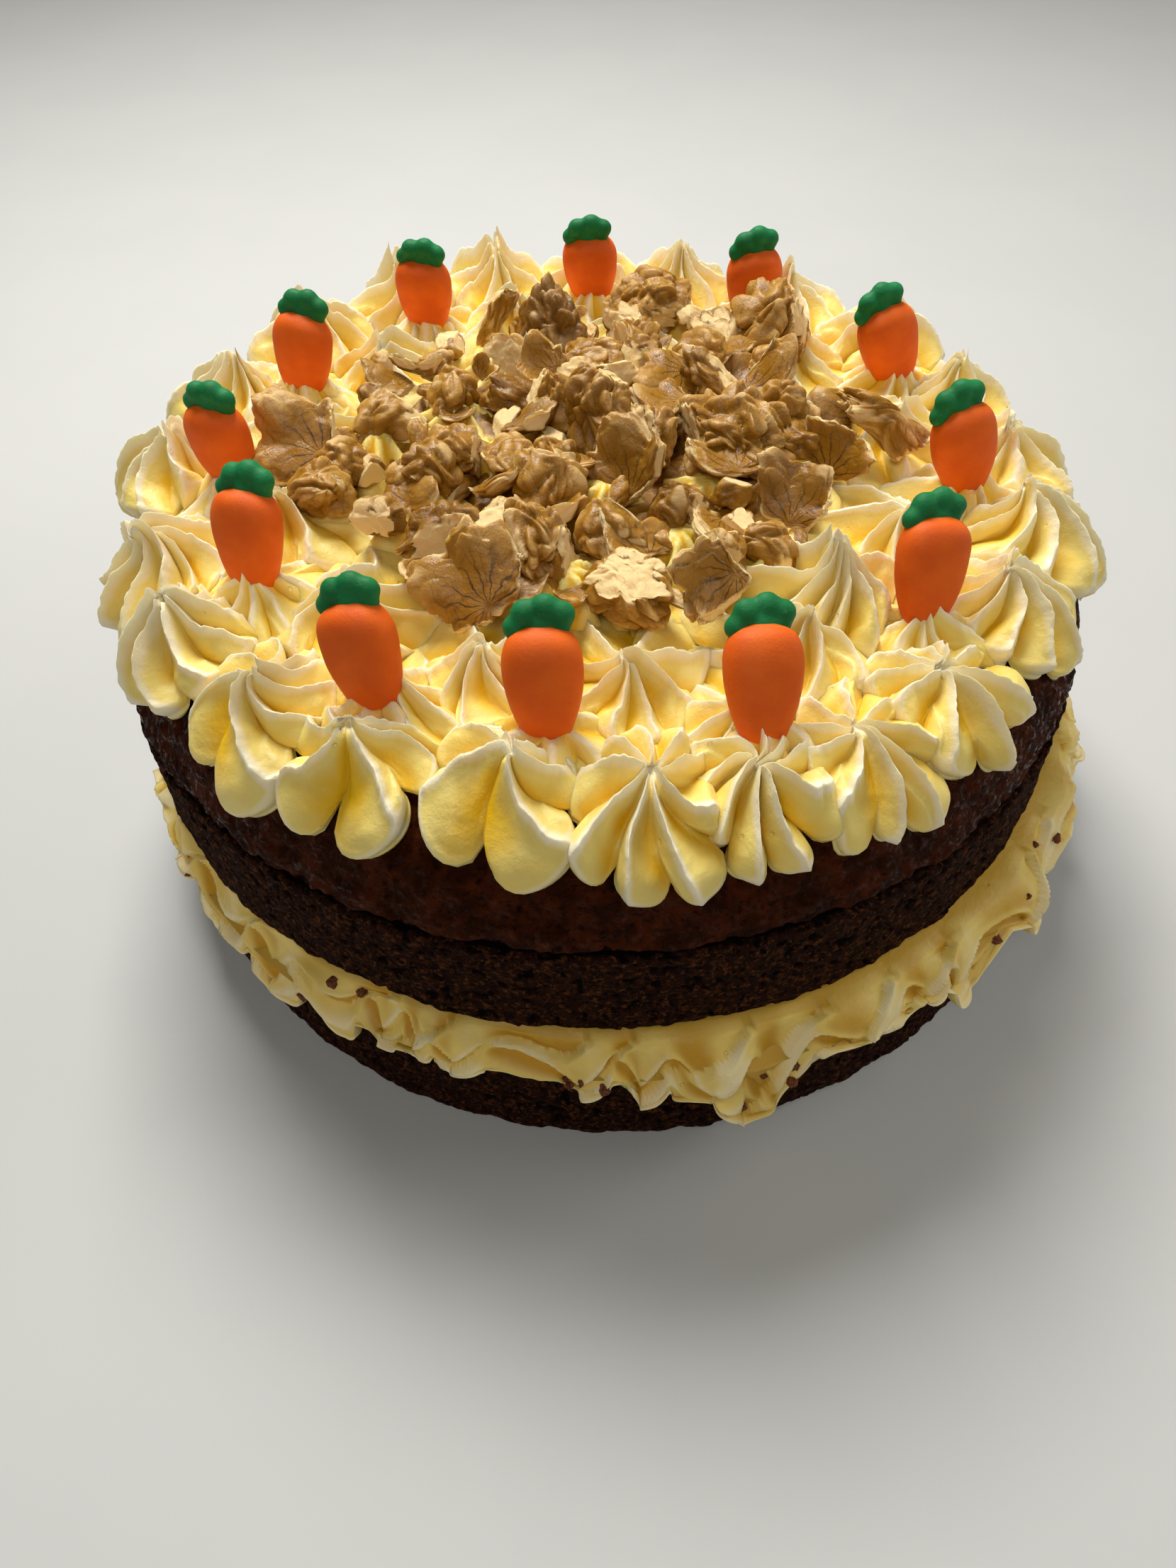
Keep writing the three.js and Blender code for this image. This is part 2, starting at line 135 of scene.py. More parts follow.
def mix(first: np.ndarray, second: np.ndarray, share: np.ndarray) -> np.ndarray:
    """The value that lies a share of the way from first to second."""
    return first + (second - first) * share


def along(points: np.ndarray, places: np.ndarray) -> np.ndarray:
    """Follows a smooth curve through points.

    Args:
        points: (k, ...) values that the curve passes through.
        places: places on it, from 0 at the first point to k - 1 at the last.

    Returns:
        The value at each place.
    """
    ends = np.concatenate([2 * points[:1] - points[1:2], points, 2 * points[-1:] - points[-2:-1]])
    start = np.clip(places.astype(int), 0, len(points) - 2)
    share = (places - start).reshape(*places.shape, *([1] * (points.ndim - 1)))
    a, b, c, d = (ends[start + i] for i in range(4))
    return 0.5 * (2 * b + (c - a) * share + (2 * a - 5 * b + 4 * c - d) * share**2
                  + (3 * b - a - 3 * c + d) * share**3)


class Unevenness:
    """Smooth random values between about -1 and 1 all over space, the same on each run."""

    def __init__(self, seed: int) -> None:
        """Draws the slopes of the lattice that the values are worked out from.

        Args:
            seed: what the draws start from.
        """
        draw = np.random.default_rng(seed)
        self.order = draw.permutation(256)
        slopes = draw.normal(size=(256, 3))
        self.slopes = slopes / np.linalg.norm(slopes, axis=1, keepdims=True)

    def at(self, points: np.ndarray, size: float) -> np.ndarray:
        """The values at points.

        Args:
            points: (..., 3) places in millimetres.
            size: the distance over which the values change, in millimetres.

        Returns:
            One value for each place.
        """
        scaled = points / size
        cell = np.floor(scaled).astype(int)
        inside = scaled - cell
        fade = inside**3 * (inside * (inside * 6 - 15) + 10)
        total = np.zeros(points.shape[:-1])
        for corner in np.ndindex(2, 2, 2):
            grid = cell + corner
            key = self.order[grid[..., 0] % 256]
            key = self.order[(key + grid[..., 1]) % 256]
            key = self.order[(key + grid[..., 2]) % 256]
            weight = np.prod(np.where(corner, fade, 1 - fade), axis=-1)
            total += weight * np.sum(self.slopes[key] * (inside - corner), axis=-1)
        return total * 1.6


NOISE = Unevenness(11)


def colour(code: str) -> tuple[float, float, float, float]:
    """Turns a screen colour into a linear one.

    Args:
        code: the colour as six hexadecimal digits.

    Returns:
        Red, green, blue and alpha, as shader nodes take them.
    """
    parts = [int(code[i:i + 2], 16) / 255 for i in (0, 2, 4)]
    linear = [p / 12.92 if p <= 0.04045 else ((p + 0.055) / 1.055) ** 2.4 for p in parts]
    return (*linear, 1.0)


# -------------------- meshes


@dataclass
class Skin:
    """A surface in millimetres: its points, its faces and the values that its material reads."""

    points: np.ndarray
    faces: list[np.ndarray]
    values: dict[str, np.ndarray] = field(default_factory=dict)
    slots: np.ndarray | None = None

    def joined(self, other: Skin) -> Skin:
        """Adds another skin to this one.

        Args:
            other: the other, which has the same values.

        Returns:
            Both as one.
        """
        step = len(self.points)
        slots = None
        if self.slots is not None and other.slots is not None:
            slots = np.concatenate([self.slots, other.slots])
        return Skin(
            np.concatenate([self.points, other.points]),
            self.faces + [faces + step for faces in other.faces],
            {k: np.concatenate([v, other.values[k]]) for k, v in self.values.items()},
            slots,
        )

    def to_object(self, name: str, materials: list[bpy.types.Material]) -> bpy.types.Object:
        """Makes a Blender object of the skin.

        Args:
            name: the object's name.
            materials: its materials, of which slots gives one for each face.

        Returns:
            The object, at the origin and linked to the scene.
        """
        mesh = bpy.data.meshes.new(name)
        corners = np.concatenate([faces.ravel() for faces in self.faces])
        sizes = np.concatenate([np.full(len(faces), faces.shape[1]) for faces in self.faces])
        mesh.vertices.add(len(self.points))
        mesh.vertices.foreach_set("co", (self.points * MM).ravel())
        mesh.loops.add(len(corners))
        mesh.loops.foreach_set("vertex_index", corners)
        mesh.polygons.add(len(sizes))
        mesh.polygons.foreach_set("loop_start", np.cumsum(sizes) - sizes)
        if self.slots is not None:
            mesh.polygons.foreach_set("material_index", self.slots)
        for key, value in self.values.items():
            kind, slot = ("FLOAT", "value") if value.ndim == 1 else ("FLOAT_VECTOR", "vector")
            mesh.attributes.new(key, kind, "POINT").data.foreach_set(slot, value.ravel())
        mesh.update(calc_edges=True)
        mesh.shade_smooth()
        for material in materials:
            mesh.materials.append(material)
        piece = bpy.data.objects.new(name, mesh)
        bpy.context.collection.objects.link(piece)
        return piece


def closed_skin(rows: np.ndarray, start: np.ndarray, end: np.ndarray, **values: np.ndarray) -> Skin:
    """Joins rings of points into one closed surface.

    Args:
        rows: (rings, places, 3) points, each ring counterclockwise, from the top one outwards,
            down and in again.
        start: the point that closes the first ring.
        end: the point that closes the last ring.
        values: one value or vector for each point, by name; an end takes its ring's mean.

    Returns:
        The surface, with its faces outwards.
    """
    rings, places = rows.shape[:2]
    here = np.arange(places)
    after = (here + 1) % places
    first = 1 + np.arange(rings - 1)[:, None] * places
    sides = np.stack([first + here, first + places + here, first + places + after, first + after], -1)
    last = 1 + (rings - 1) * places
    top = np.stack([np.zeros_like(here), 1 + here, 1 + after], -1)
    bottom = np.stack([last + here, np.full_like(here, 1 + rings * places), last + after], -1)
    points = np.concatenate([start[None], rows.reshape(-1, 3), end[None]])
    kept = {
        key: np.concatenate([value[0].mean(axis=0)[None], value.reshape(-1, *value.shape[2:]),
                             value[-1].mean(axis=0)[None]])
        for key, value in values.items()
    }
    return Skin(points, [sides.reshape(-1, 4), top, bottom], kept)


def ride_and_replace(piece: bpy.types.Object, slot: str, *nodes: str) -> None:
    """Fixes a finished piece to the cake and lets it stand for CAD nodes.

    Args:
        piece: the finished piece.
        slot: not used.
        nodes: the nodes that it stands for, if any.
    """
    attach(piece, ROOT)
    if nodes:
        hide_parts(*nodes)
    log.info("%s: %d faces", piece.name, len(piece.data.polygons))


def add_node(tree: bpy.types.NodeTree, kind: str, settings: dict | None = None,
             **inputs: object) -> bpy.types.Node:
    """Adds a node to a tree of a material or of Geometry Nodes.

    Args:
        tree: the tree.
        kind: the node's type.
        settings: its properties.
        inputs: its sockets by name, with _ for a space, or by number as i0, i1 and so on; each
            takes a value or another node's output.

    Returns:
        The node.
    """
    node = tree.nodes.new(kind)
    for key, value in (settings or {}).items():
        setattr(node, key, value)
    for key, value in inputs.items():
        place = int(key[1:]) if key[0] == "i" and key[1:].isdigit() else key.replace("_", " ")
        if isinstance(value, bpy.types.NodeSocket):
            tree.links.new(value, node.inputs[place])
        else:
            node.inputs[place].default_value = value
    return node


# -------------------- finishes


class Finish:
    """A material under construction."""

    def __init__(self, name: str) -> None:
        """Starts an empty material.

        Args:
            name: the material's name.
        """
        self.material = bpy.data.materials.new(name)
        self.material.use_nodes = True
        self.tree = self.material.node_tree
        self.tree.nodes.clear()

    def add(self, kind: str, settings: dict | None = None, **inputs: object) -> bpy.types.Node:
        """Adds a node to the material, as add_node does."""
        return add_node(self.tree, kind, settings, **inputs)

    def value(self, name: str) -> bpy.types.NodeSocket:
        """The piece's own value of that name."""
        return self.add("ShaderNodeAttribute", {"attribute_name": name}).outputs["Fac"]

    def place(self) -> bpy.types.NodeSocket:
        """Object coordinates, in metres."""
        return self.add("ShaderNodeTexCoord").outputs["Object"]

    def noise(self, size: float, detail: float = 3, rough: float = 0.5) -> bpy.types.NodeSocket:
        """Noise whose patches are about size millimetres wide."""
        node = self.add("ShaderNodeTexNoise", Vector=self.place(), Scale=1 / (size * MM),
                        Detail=detail, Roughness=rough)
        return node.outputs["Fac"]

    def cells(self, size: float, feature: str = "F1") -> bpy.types.NodeSocket:
        """The distance from the middle of cells about size millimetres wide, or their edges."""
        node = self.add("ShaderNodeTexVoronoi", {"feature": feature}, Vector=self.place(),
                        Scale=1 / (size * MM))
        return node.outputs["Distance"]

    def spread(self, source: bpy.types.NodeSocket, low: float, high: float,
               to_low: float = 0.0, to_high: float = 1.0) -> bpy.types.NodeSocket:
        """Stretches values from low..high to to_low..to_high and holds them there."""
        node = self.add("ShaderNodeMapRange", {"interpolation_type": "SMOOTHSTEP"}, Value=source,
                        i1=low, i2=high, i3=to_low, i4=to_high)
        return node.outputs["Result"]

    def blend(self, share: bpy.types.NodeSocket, first: object, second: object) -> bpy.types.NodeSocket:
        """Mixes two colours, each a hexadecimal code or an output.

        Args:
            share: how much of the second there is.
            first: the first.
            second: the second.

        Returns:
            The mixed colour.
        """
        node = self.add("ShaderNodeMix", {"data_type": "RGBA"}, i0=share)
        for place, value in ((6, first), (7, second)):
            if isinstance(value, str):
                node.inputs[place].default_value = colour(value)
            else:
                self.tree.links.new(value, node.inputs[place])
        return node.outputs[2]

    def sum(self, kind: str, first: object, second: object) -> bpy.types.NodeSocket:
        """Works out one arithmetic step, such as ADD or MULTIPLY."""
        return self.add("ShaderNodeMath", {"operation": kind}, i0=first, i1=second).outputs[0]

    def bumped(self, height: bpy.types.NodeSocket, depth: float,
               under: bpy.types.NodeSocket | None = None) -> bpy.types.NodeSocket:
        """Turns heights into a bump.

        Args:
            height: the heights, from 0 to 1.
            depth: how deep they go, in millimetres.
            under: a bump that this one lies over, if any.

        Returns:
            The normal.
        """
        node = self.add("ShaderNodeBump", Height=height, Distance=depth * MM, Strength=1.0)
        if under is not None:
            self.tree.links.new(under, node.inputs["Normal"])
        return node.outputs["Normal"]

    def finished(self, **inputs: object) -> bpy.types.Material:
        """Ends the material in a Principled shader with these inputs.

        Args:
            inputs: the shader's sockets, as add takes them.

        Returns:
            The material.
        """
        shader = self.add("ShaderNodeBsdfPrincipled", **inputs)
        self.add("ShaderNodeOutputMaterial", Surface=shader.outputs[0])
        return self.material


@dataclass(frozen=True)
class Buttercream:
    """Whipped butter and icing sugar, pushed through a star nozzle or squeezed out.

    It scatters light, so thick folds turn pale and deep grooves a saturated yellow; here this is painted
    into its colour:
    painted shade in the grooves and a painted highlight on the folds. The nozzle's edges leave thin
    crests, whose whiter colour is a painted highlight, and its satin surface has small bubbles.
    """

    name: str = "piped_buttercream"
    # groove is the painted shade of the grooves; petal and crest are the painted highlight of folds and
    # crests
    groove: str = "EABA0E"
    petal: str = "EED980"
    crest: str = "F5EBCE"
    bubble_size: float = 7.0
    stain: str = "F4B57C"  # sugar colour that has run into the icing
    depth: float = 1.1  # how far light spreads in it, in millimetres

    def make(self) -> bpy.types.Material:
        """Builds the material.

        Returns:
            The material.
        """
        f = Finish(self.name)
        ridge = f.value("ridge")
        # the ridge value paints light and shade: saturated yellow shade in grooves, a paler highlight on
        # folds, whitest on crests
        base = f.blend(f.spread(ridge, 0.04, 0.48), self.groove, self.petal)
        base = f.blend(f.spread(ridge, 0.55, 0.95), base, self.crest)
        cloudy = f.spread(f.noise(9, 2), 0.3, 0.7, 0.0, 0.16)
        base = f.blend(cloudy, base, self.groove)
        base = f.blend(f.value("stain"), base, self.stain)
        soft = f.bumped(f.noise(1.6, 5, 0.65), 0.26)
        holes = f.spread(f.cells(self.bubble_size), 0.04, 0.07)
        normal = f.bumped(holes, 0.2, soft)
        return f.finished(
            Base_Color=base, Roughness=f.spread(f.noise(5), 0.3, 0.7, 0.34, 0.5), IOR=1.46,
            Specular_IOR_Level=0.45, Subsurface_Weight=0.4,
            Subsurface_Radius=(1.0, 0.85, 0.4), Subsurface_Scale=self.depth * MM,
            Normal=normal,
        )


@dataclass(frozen=True)
class OpenCrumb:
    """The side of an oil sponge baked very dark: a dry crumb, full of pores of about a millimetre."""

    name: str = "open_crumb"
    # deep is the darkest crumb, and also the painted shade in pores and pits
    deep: str = "0C0301"
    crumb: str = "3C1A09"
    light_crumb: str = "764420"

    def make(self) -> bpy.types.Material:
        """Builds the material.

        Returns:
            The material.
        """
        f = Finish(self.name)
        grain = f.noise(1.5, 6, 0.7)
        base = f.blend(f.spread(grain, 0.36, 0.6), self.deep, self.crumb)
        base = f.blend(f.spread(f.noise(1.1, 4, 0.7), 0.5, 0.66), base, self.light_crumb)
        pores = f.spread(f.cells(1.7), 0.10, 0.42)
        # pores and pits take the deep colour: painted shade in the holes
        base = f.blend(f.spread(pores, 0.0, 0.6), self.deep, base)
        base = f.blend(f.spread(f.value("pit"), 0.0, 0.7), base, self.deep)
        lumpy = f.bumped(f.noise(3.2, 3), 2.2)
        torn = f.bumped(grain, 3.0, lumpy)
        return f.finished(Base_Color=base, Roughness=0.9, Specular_IOR_Level=0.08,
                          Normal=f.bumped(pores, 0.9, torn))


@dataclass(frozen=True)
class StickyCrust:
    """The closed top of the sponge: darker than the crumb, lumpy and slightly moist, so that it
    catches small highlights."""

    name: str = "sticky_crust"
    # deep is the darkest crust, and also the painted shade in pits
    deep: str = "100502"
    crust: str = "280F05"
    red_crust: str = "451C09"
    glint: str = "C47A42"

    def make(self) -> bpy.types.Material:
        """Builds the material.

        Returns:
            The material.
        """
        f = Finish(self.name)
        grain = f.noise(1.6, 5, 0.65)
        base = f.blend(f.spread(f.noise(5.0, 5, 0.6), 0.38, 0.64), self.crust, self.red_crust)
        base = f.blend(f.spread(grain, 0.3, 0.52), self.deep, base)
        # pits take the deep colour: painted shade
        base = f.blend(f.spread(f.value("pit"), 0.0, 0.8), base, self.deep)
        lumpy = f.bumped(f.noise(4.0, 3), 1.2)
        normal = f.bumped(grain, 0.8, lumpy)
        dry = f.spread(f.noise(1.3, 4, 0.65), 0.52, 0.6, 0.85, 0.2)
        return f.finished(Base_Color=base, Roughness=dry, Specular_IOR_Level=0.14,
                          Specular_Tint=colour(self.glint), Normal=normal)


@dataclass(frozen=True)
class SugarPaste:
    """Moulded sugar paste, pressed in a starch mould, so it is matt with a fine grain.

    Light enters it a little way, which makes thin edges glow.
    """

    name: str
    shade: str
    edge: str
    dust: str = "F0A050"  # starch that stays on from the mould
    radius: tuple[float, float, float] = (1.6, 0.5, 0.15)

    def make(self) -> bpy.types.Material:
        """Builds the material.

        Returns:
            The material.
        """
        f = Finish(self.name)
        patchy = f.spread(f.noise(5, 2), 0.3, 0.75, 0.0, 0.7)
        base = f.blend(patchy, self.shade, self.edge)
        dusty = f.spread(f.noise(0.35, 2), 0.64, 0.8, 0.0, 0.14)
        base = f.blend(dusty, base, self.dust)
        grain = f.bumped(f.noise(0.45, 3, 0.6), 0.07)
        pits = f.bumped(f.spread(f.cells(2.6), 0.03, 0.07), 0.08, grain)
        return f.finished(
            Base_Color=base, Roughness=0.62, Specular_IOR_Level=0.3, Subsurface_Weight=0.18,
            Subsurface_Radius=self.radius, Subsurface_Scale=MM, Normal=pits,
        )


@dataclass(frozen=True)
class WalnutKernel:
    """Shelled walnut: a waxy, slightly translucent skin over pale flesh.

    The skin has thin veins, which run together like a fan's ribs where a piece was next to the
    shell's wall; its darker folds are painted shade and its paler tops a painted highlight. Broken
    faces are cream and crumbly.
    """

    name: str = "walnut_kernel"
    # fold is the painted shade of the creases, and also the colour that toasted pieces lean to; the next
    # but one is a painted highlight on raised tops
    fold: str = "6C4304"
    skin: str = "9A6A14"
    highlit_skin: str = "C2954A"
    vein: str = "33190A"
    flesh: str = "E6C78E"

    def make(self) -> bpy.types.Material:
        """Builds the material.

        Returns:
            The material.
        """
        f = Finish(self.name)
        height = f.value("fold")
        # darker low in the folds: painted shade; paler on the highest tops: painted highlight
        base = f.blend(f.spread(height, 0.0, 0.42), self.fold, self.skin)
        base = f.blend(f.spread(height, 0.5, 1.0, 0.0, 0.75), base, self.highlit_skin)
        patches = f.spread(f.noise(4.5, 3), 0.4, 0.7, 0.0, 0.55)
        base = f.blend(patches, base, self.skin)
        base = f.blend(f.spread(f.value("toasted"), 0, 1, 0.0, 0.75), base, self.fold)
        # ribs: lines that run from the fan's hub, at which the piece's own coordinates start
        local = f.add("ShaderNodeAttribute", {"attribute_name": "local"}).outputs["Vector"]
        parts = f.add("ShaderNodeSeparateXYZ", Vector=local)
        around = f.sum("ARCTAN2", parts.outputs["X"], parts.outputs["Y"])
        wobble = f.sum("MULTIPLY", f.noise(3, 2), 0.5)
        ribs = f.sum("SINE", f.sum("MULTIPLY", f.sum("ADD", around, wobble), 15.0), 0.0)
        ribs = f.sum("MULTIPLY", f.spread(ribs, 0.72, 0.98), f.value("fan"))
        base = f.blend(f.sum("MULTIPLY", ribs, 0.85), base, self.vein)
        thin = f.spread(f.cells(4.2, "DISTANCE_TO_EDGE"), 0.0, 0.035, 0.3, 0.0)
        base = f.blend(thin, base, self.vein)
        base = f.blend(f.value("cut"), base, self.flesh)
        lumps = f.bumped(f.noise(1.1, 4, 0.6), 0.2)
        normal = f.bumped(f.noise(0.4, 3), 0.08, lumps)
        waxy = f.spread(f.noise(2.2, 2), 0.35, 0.6, 0.3, 0.5)
        rough = f.add("ShaderNodeMix", {"data_type": "FLOAT"}, i0=f.value("cut"), i2=waxy, i3=0.75)
        return f.finished(
            Base_Color=base, Roughness=rough.outputs[0], IOR=1.47, Specular_IOR_Level=0.45,
            Subsurface_Weight=0.35, Subsurface_Radius=(2.0, 1.4, 0.5), Subsurface_Scale=MM,
            Normal=normal,
        )


@dataclass(frozen=True)
class BakedCrumb:
    """Loose crumbs that fell off the sponge: dry, matt and reddish brown."""

    name: str = "loose_crumb"
    dark: str = "4A220C"
    light: str = "7E4218"

    def make(self) -> bpy.types.Material:
        """Builds the material.

        Returns:
            The material.
        """
        f = Finish(self.name)
        base = f.blend(f.spread(f.noise(0.6, 3), 0.35, 0.65), self.dark, self.light)
        return f.finished(Base_Color=base, Roughness=0.85, Normal=f.bumped(f.noise(0.4, 3), 0.15))


@dataclass(frozen=True)
class PaintedTable:
    """A pale matt table top, which only carries the cake."""

    name: str = "pale_table"
    shade: str = "C2C1BE"
    patch: str = "B9B8B6"

    def make(self) -> bpy.types.Material:
        """Builds the material.

        Returns:
            The material.
        """
        f = Finish(self.name)
        base = f.blend(f.spread(f.noise(60, 3), 0.4, 0.6, 0.0, 0.15), self.shade, self.patch)
        return f.finished(Base_Color=base, Roughness=0.7)


# -------------------- the sponges


@dataclass(frozen=True)
class LayerForm:
    """What both sponges have in common: how far from round they are, and how rough."""

    uneven: tuple = ((2, 0.004, 0.6), (3, 0.003, -1))
    around: int = 900
    lump_depth: float = 0.55
    pit_depth: float = 0.8

    def swell(self, angle: np.ndarray) -> np.ndarray:
        """How far from round a layer is at an angle."""
        return 1 + waves(self.uneven, angle)

    def rough_skin(self, profile: np.ndarray, shift_x: float, crust: np.ndarray,
                   dark: np.ndarray) -> Skin:
        """Turns a profile round the axis and gives it a crumb.

        Args:
            profile: (n, 2) radius and height, from the top's middle down to the bottom's.
            shift_x: how far the layer stands to the right.
            crust: (n,) 1 where the profile is closed crust and 0 where it is open crumb.
            dark: (n,) 1 where the profile is the bottom of a groove, which the finishes paint as shade.

        Returns:
            The layer's surface.
        """
        angle = np.arange(self.around) * TAU / self.around
        radius = profile[:, 0, None] * self.swell(angle)
        rows = np.stack([radius * np.cos(angle), radius * np.sin(angle),
                         np.repeat(profile[:, 1, None], self.around, 1)], -1)
        edges = np.gradient(profile, axis=0)
        outward = np.stack([-edges[:, 1], edges[:, 0]], -1)
        outward /= np.linalg.norm(outward, axis=1, keepdims=True) + 1e-9
        normal = np.stack([outward[:, 0, None] * np.cos(angle), outward[:, 0, None] * np.sin(angle),
                           np.repeat(outward[:, 1, None], self.around, 1)], -1)
        pit = ease(0.3, 0.6, NOISE.at(rows, 1.9)) * (1 - 0.7 * crust[:, None])
        # the groove's bottom joins the pits, which the finishes darken: painted shade
        pit = np.maximum(pit, dark[:, None])
        lumps = 0.9 * NOISE.at(rows, 11) + 0.7 * NOISE.at(rows, 4.2) + 0.6 * NOISE.at(rows, 1.6)
        depth = self.lump_depth * (1 + 0.6 * crust[:, None]) * lumps - self.pit_depth * pit
        resting = ease(0.0, 1.0, rows[..., 2])
        rows = rows + normal * (depth * resting)[..., None] + np.array([shift_x, 0, 0])
        start = np.array([shift_x, 0, profile[0, 1]])
        end = np.array([shift_x, 0, profile[-1, 1]])
        skin = closed_skin(rows, start, end, pit=pit)
        on_crust = np.repeat(crust[:-1] > 0.5, self.around)
        ends = np.concatenate([np.ones(self.around), np.zeros(self.around)]) * crust[0]
        skin.slots = np.concatenate([on_crust, ends]).astype(int)
        return skin


@dataclass
class LowerSponge:
    """The lower layer: a plain disc with a crumbly side."""

    radius: float = 102.4
    height: float = 28.0
    edge: float = 2.5
    cover: tuple[float, float] = (60.0, 92.0)  # rings of the hidden top, the first one also below
    shift_x: float = 1.2
    form: LayerForm = LayerForm()

    def profile(self) -> np.ndarray:
        """The layer's outline, from the top's middle round the side to the bottom's.

        Returns:
            (n, 2) radius and height.
        """
        turn = np.linspace(0, math.pi / 2, 6)
        inner = self.radius - self.edge
        top = np.stack([inner + self.edge * np.sin(turn),
                        self.height - self.edge + self.edge * np.cos(turn)], -1)
        levels = np.linspace(self.height - self.edge, self.edge, 38)[1:-1]
        side = np.stack([np.full_like(levels, self.radius), levels], -1)
        bottom = np.stack([inner + self.edge * np.cos(turn), self.edge - self.edge * np.sin(turn)], -1)
        hidden = [[ring, self.height] for ring in self.cover]
        return np.concatenate([hidden, top, side, bottom, [[self.cover[0], 0]]])

    def build(self, crumb: bpy.types.Material) -> None:
        """Makes the layer.

        Args:
            crumb: its finish.
        """
        profile = self.profile()
        none = np.zeros(len(profile))
        skin = self.form.rough_skin(profile, self.shift_x, none, none)
        ride_and_replace(skin.to_object("lower_layer", [crumb]), "sponge", "sponge_lower")


@dataclass(frozen=True)
class Crust:
    """The risen top of the upper layer, on which the icing stands.

    The icing is laid out as if the crust were rolled out flat: a place's distance from the middle
    is the distance walked over the crust, and heights are taken square to it.
    """

    radius: float = 98.8
    shoulder: float = 16.0
    top: float = 83.2
    dome: float = 1.3
    shift_x: float = -2.2
    form: LayerForm = LayerForm()

    @property
    def flat(self) -> float:
        """How far the nearly flat part reaches."""
        return self.radius - self.shoulder

    def at(self, distance: np.ndarray) -> tuple[np.ndarray, np.ndarray, np.ndarray]:
        """The crust's outline.

        Args:
            distance: the distance walked over it from its middle.

        Returns:
            The radius, the height and the tilt there.
        """
        edge_tilt = math.atan(2 * self.dome / self.flat)
        share = distance / self.flat
        bent = np.minimum(edge_tilt + (distance - self.flat) / self.shoulder, math.pi / 2)
        arc_end = self.flat + (math.pi / 2 - edge_tilt) * self.shoulder
        inside = distance <= self.flat
        radius = self.flat + self.shoulder * (np.sin(bent) - math.sin(edge_tilt))
        radius = np.minimum(radius, self.radius)
        height = (self.top - self.dome - self.shoulder * (math.cos(edge_tilt) - np.cos(bent))
                  - np.maximum(0, distance - arc_end))
        return (np.where(inside, distance, radius),
                np.where(inside, self.top - self.dome * share * share, height),
                np.where(inside, edge_tilt * share, bent))

    def place(self, x: np.ndarray, y: np.ndarray, height: np.ndarray) -> np.ndarray:
        """Where a place of the rolled-out crust is on the cake.

        Args:
            x: how far right it is on the rolled-out crust.
            y: how far back it is there.
            height: how far above the crust it is.

        Returns:
            The (..., 3) points.
        """
        angle = np.arctan2(y, x)
        radius, level, tilt = self.at(np.hypot(x, y))
        out = radius * self.form.swell(angle) + height * np.sin(tilt)
        return np.stack([out * np.cos(angle) + self.shift_x, out * np.sin(angle),
                         level + height * np.cos(tilt)], -1)


@dataclass
class UpperSponge:
    """The upper layer: an open crumb side, a ragged seam and a closed crust above it."""

    crust: Crust
    bottom: float = 37.0
    radius: float = 100.0
    edge: float = 1.6
    seam_radius: float = 97.0
    seam_height: float = 61.4
    seam_width: float = 3.4
    shown_walk: tuple[float, float] = (-16.0, 23.0)  # the crust that may show, from the shoulder's start
    cover: tuple[float, float] = (30.0, 60.0)  # innermost rings of the hidden top and bottom

    def build(self, *finishes: bpy.types.Material) -> None:
        """Makes the layer.

        Args:
            finishes: its crumb's finish and then its crust's.
        """
        walk = np.linspace(*(self.crust.flat + w for w in self.shown_walk), 46)
        radius, height, _ = self.crust.at(walk)
        over = np.stack([radius, height], -1)
        lip = self.seam_height + self.seam_width * 0.35
        side_top = self.seam_height - self.seam_width * 0.65
        seam = along(np.array([
            [self.crust.radius, over[-1, 1]], [self.crust.radius + 0.7, lip - 0.1],
            [self.crust.radius + 0.1, lip - 0.9], [self.seam_radius - 1.5, self.seam_height],
            [self.radius - 0.5, side_top + 1.2], [self.radius + 0.3, side_top + 0.2],
        ]), np.linspace(0, 5, 21))[1:]
        levels = np.linspace(seam[-1, 1], self.bottom + self.edge, 32)[1:]
        side = np.stack([np.full_like(levels, self.radius), levels], -1)
        turn = np.linspace(0, math.pi / 2, 5)[1:]
        foot = np.stack([self.radius - self.edge + self.edge * np.cos(turn),
                         self.bottom + self.edge - self.edge * np.sin(turn)], -1)
        under_icing = [[self.cover[0], self.crust.top - 0.2]]
        bottom = [[self.cover[1], self.bottom]]
        profile = np.concatenate([under_icing, over, seam, side, foot, bottom])
        crust = ease(self.seam_height - 0.5, self.seam_height + 1.5, profile[:, 1])
        # the seam's groove is marked dark, for a painted shadow in the slit
        dark = ease(self.crust.radius + 0.5, self.crust.radius - 0.5, profile[:, 0])
        dark *= np.abs(profile[:, 1] - self.seam_height) < 2
        skin = self.crust.form.rough_skin(profile, self.crust.shift_x, crust, dark)
        ride_and_replace(skin.to_object("upper_layer", [*finishes]), "sponge", "sponge_upper")


# -------------------- the filling


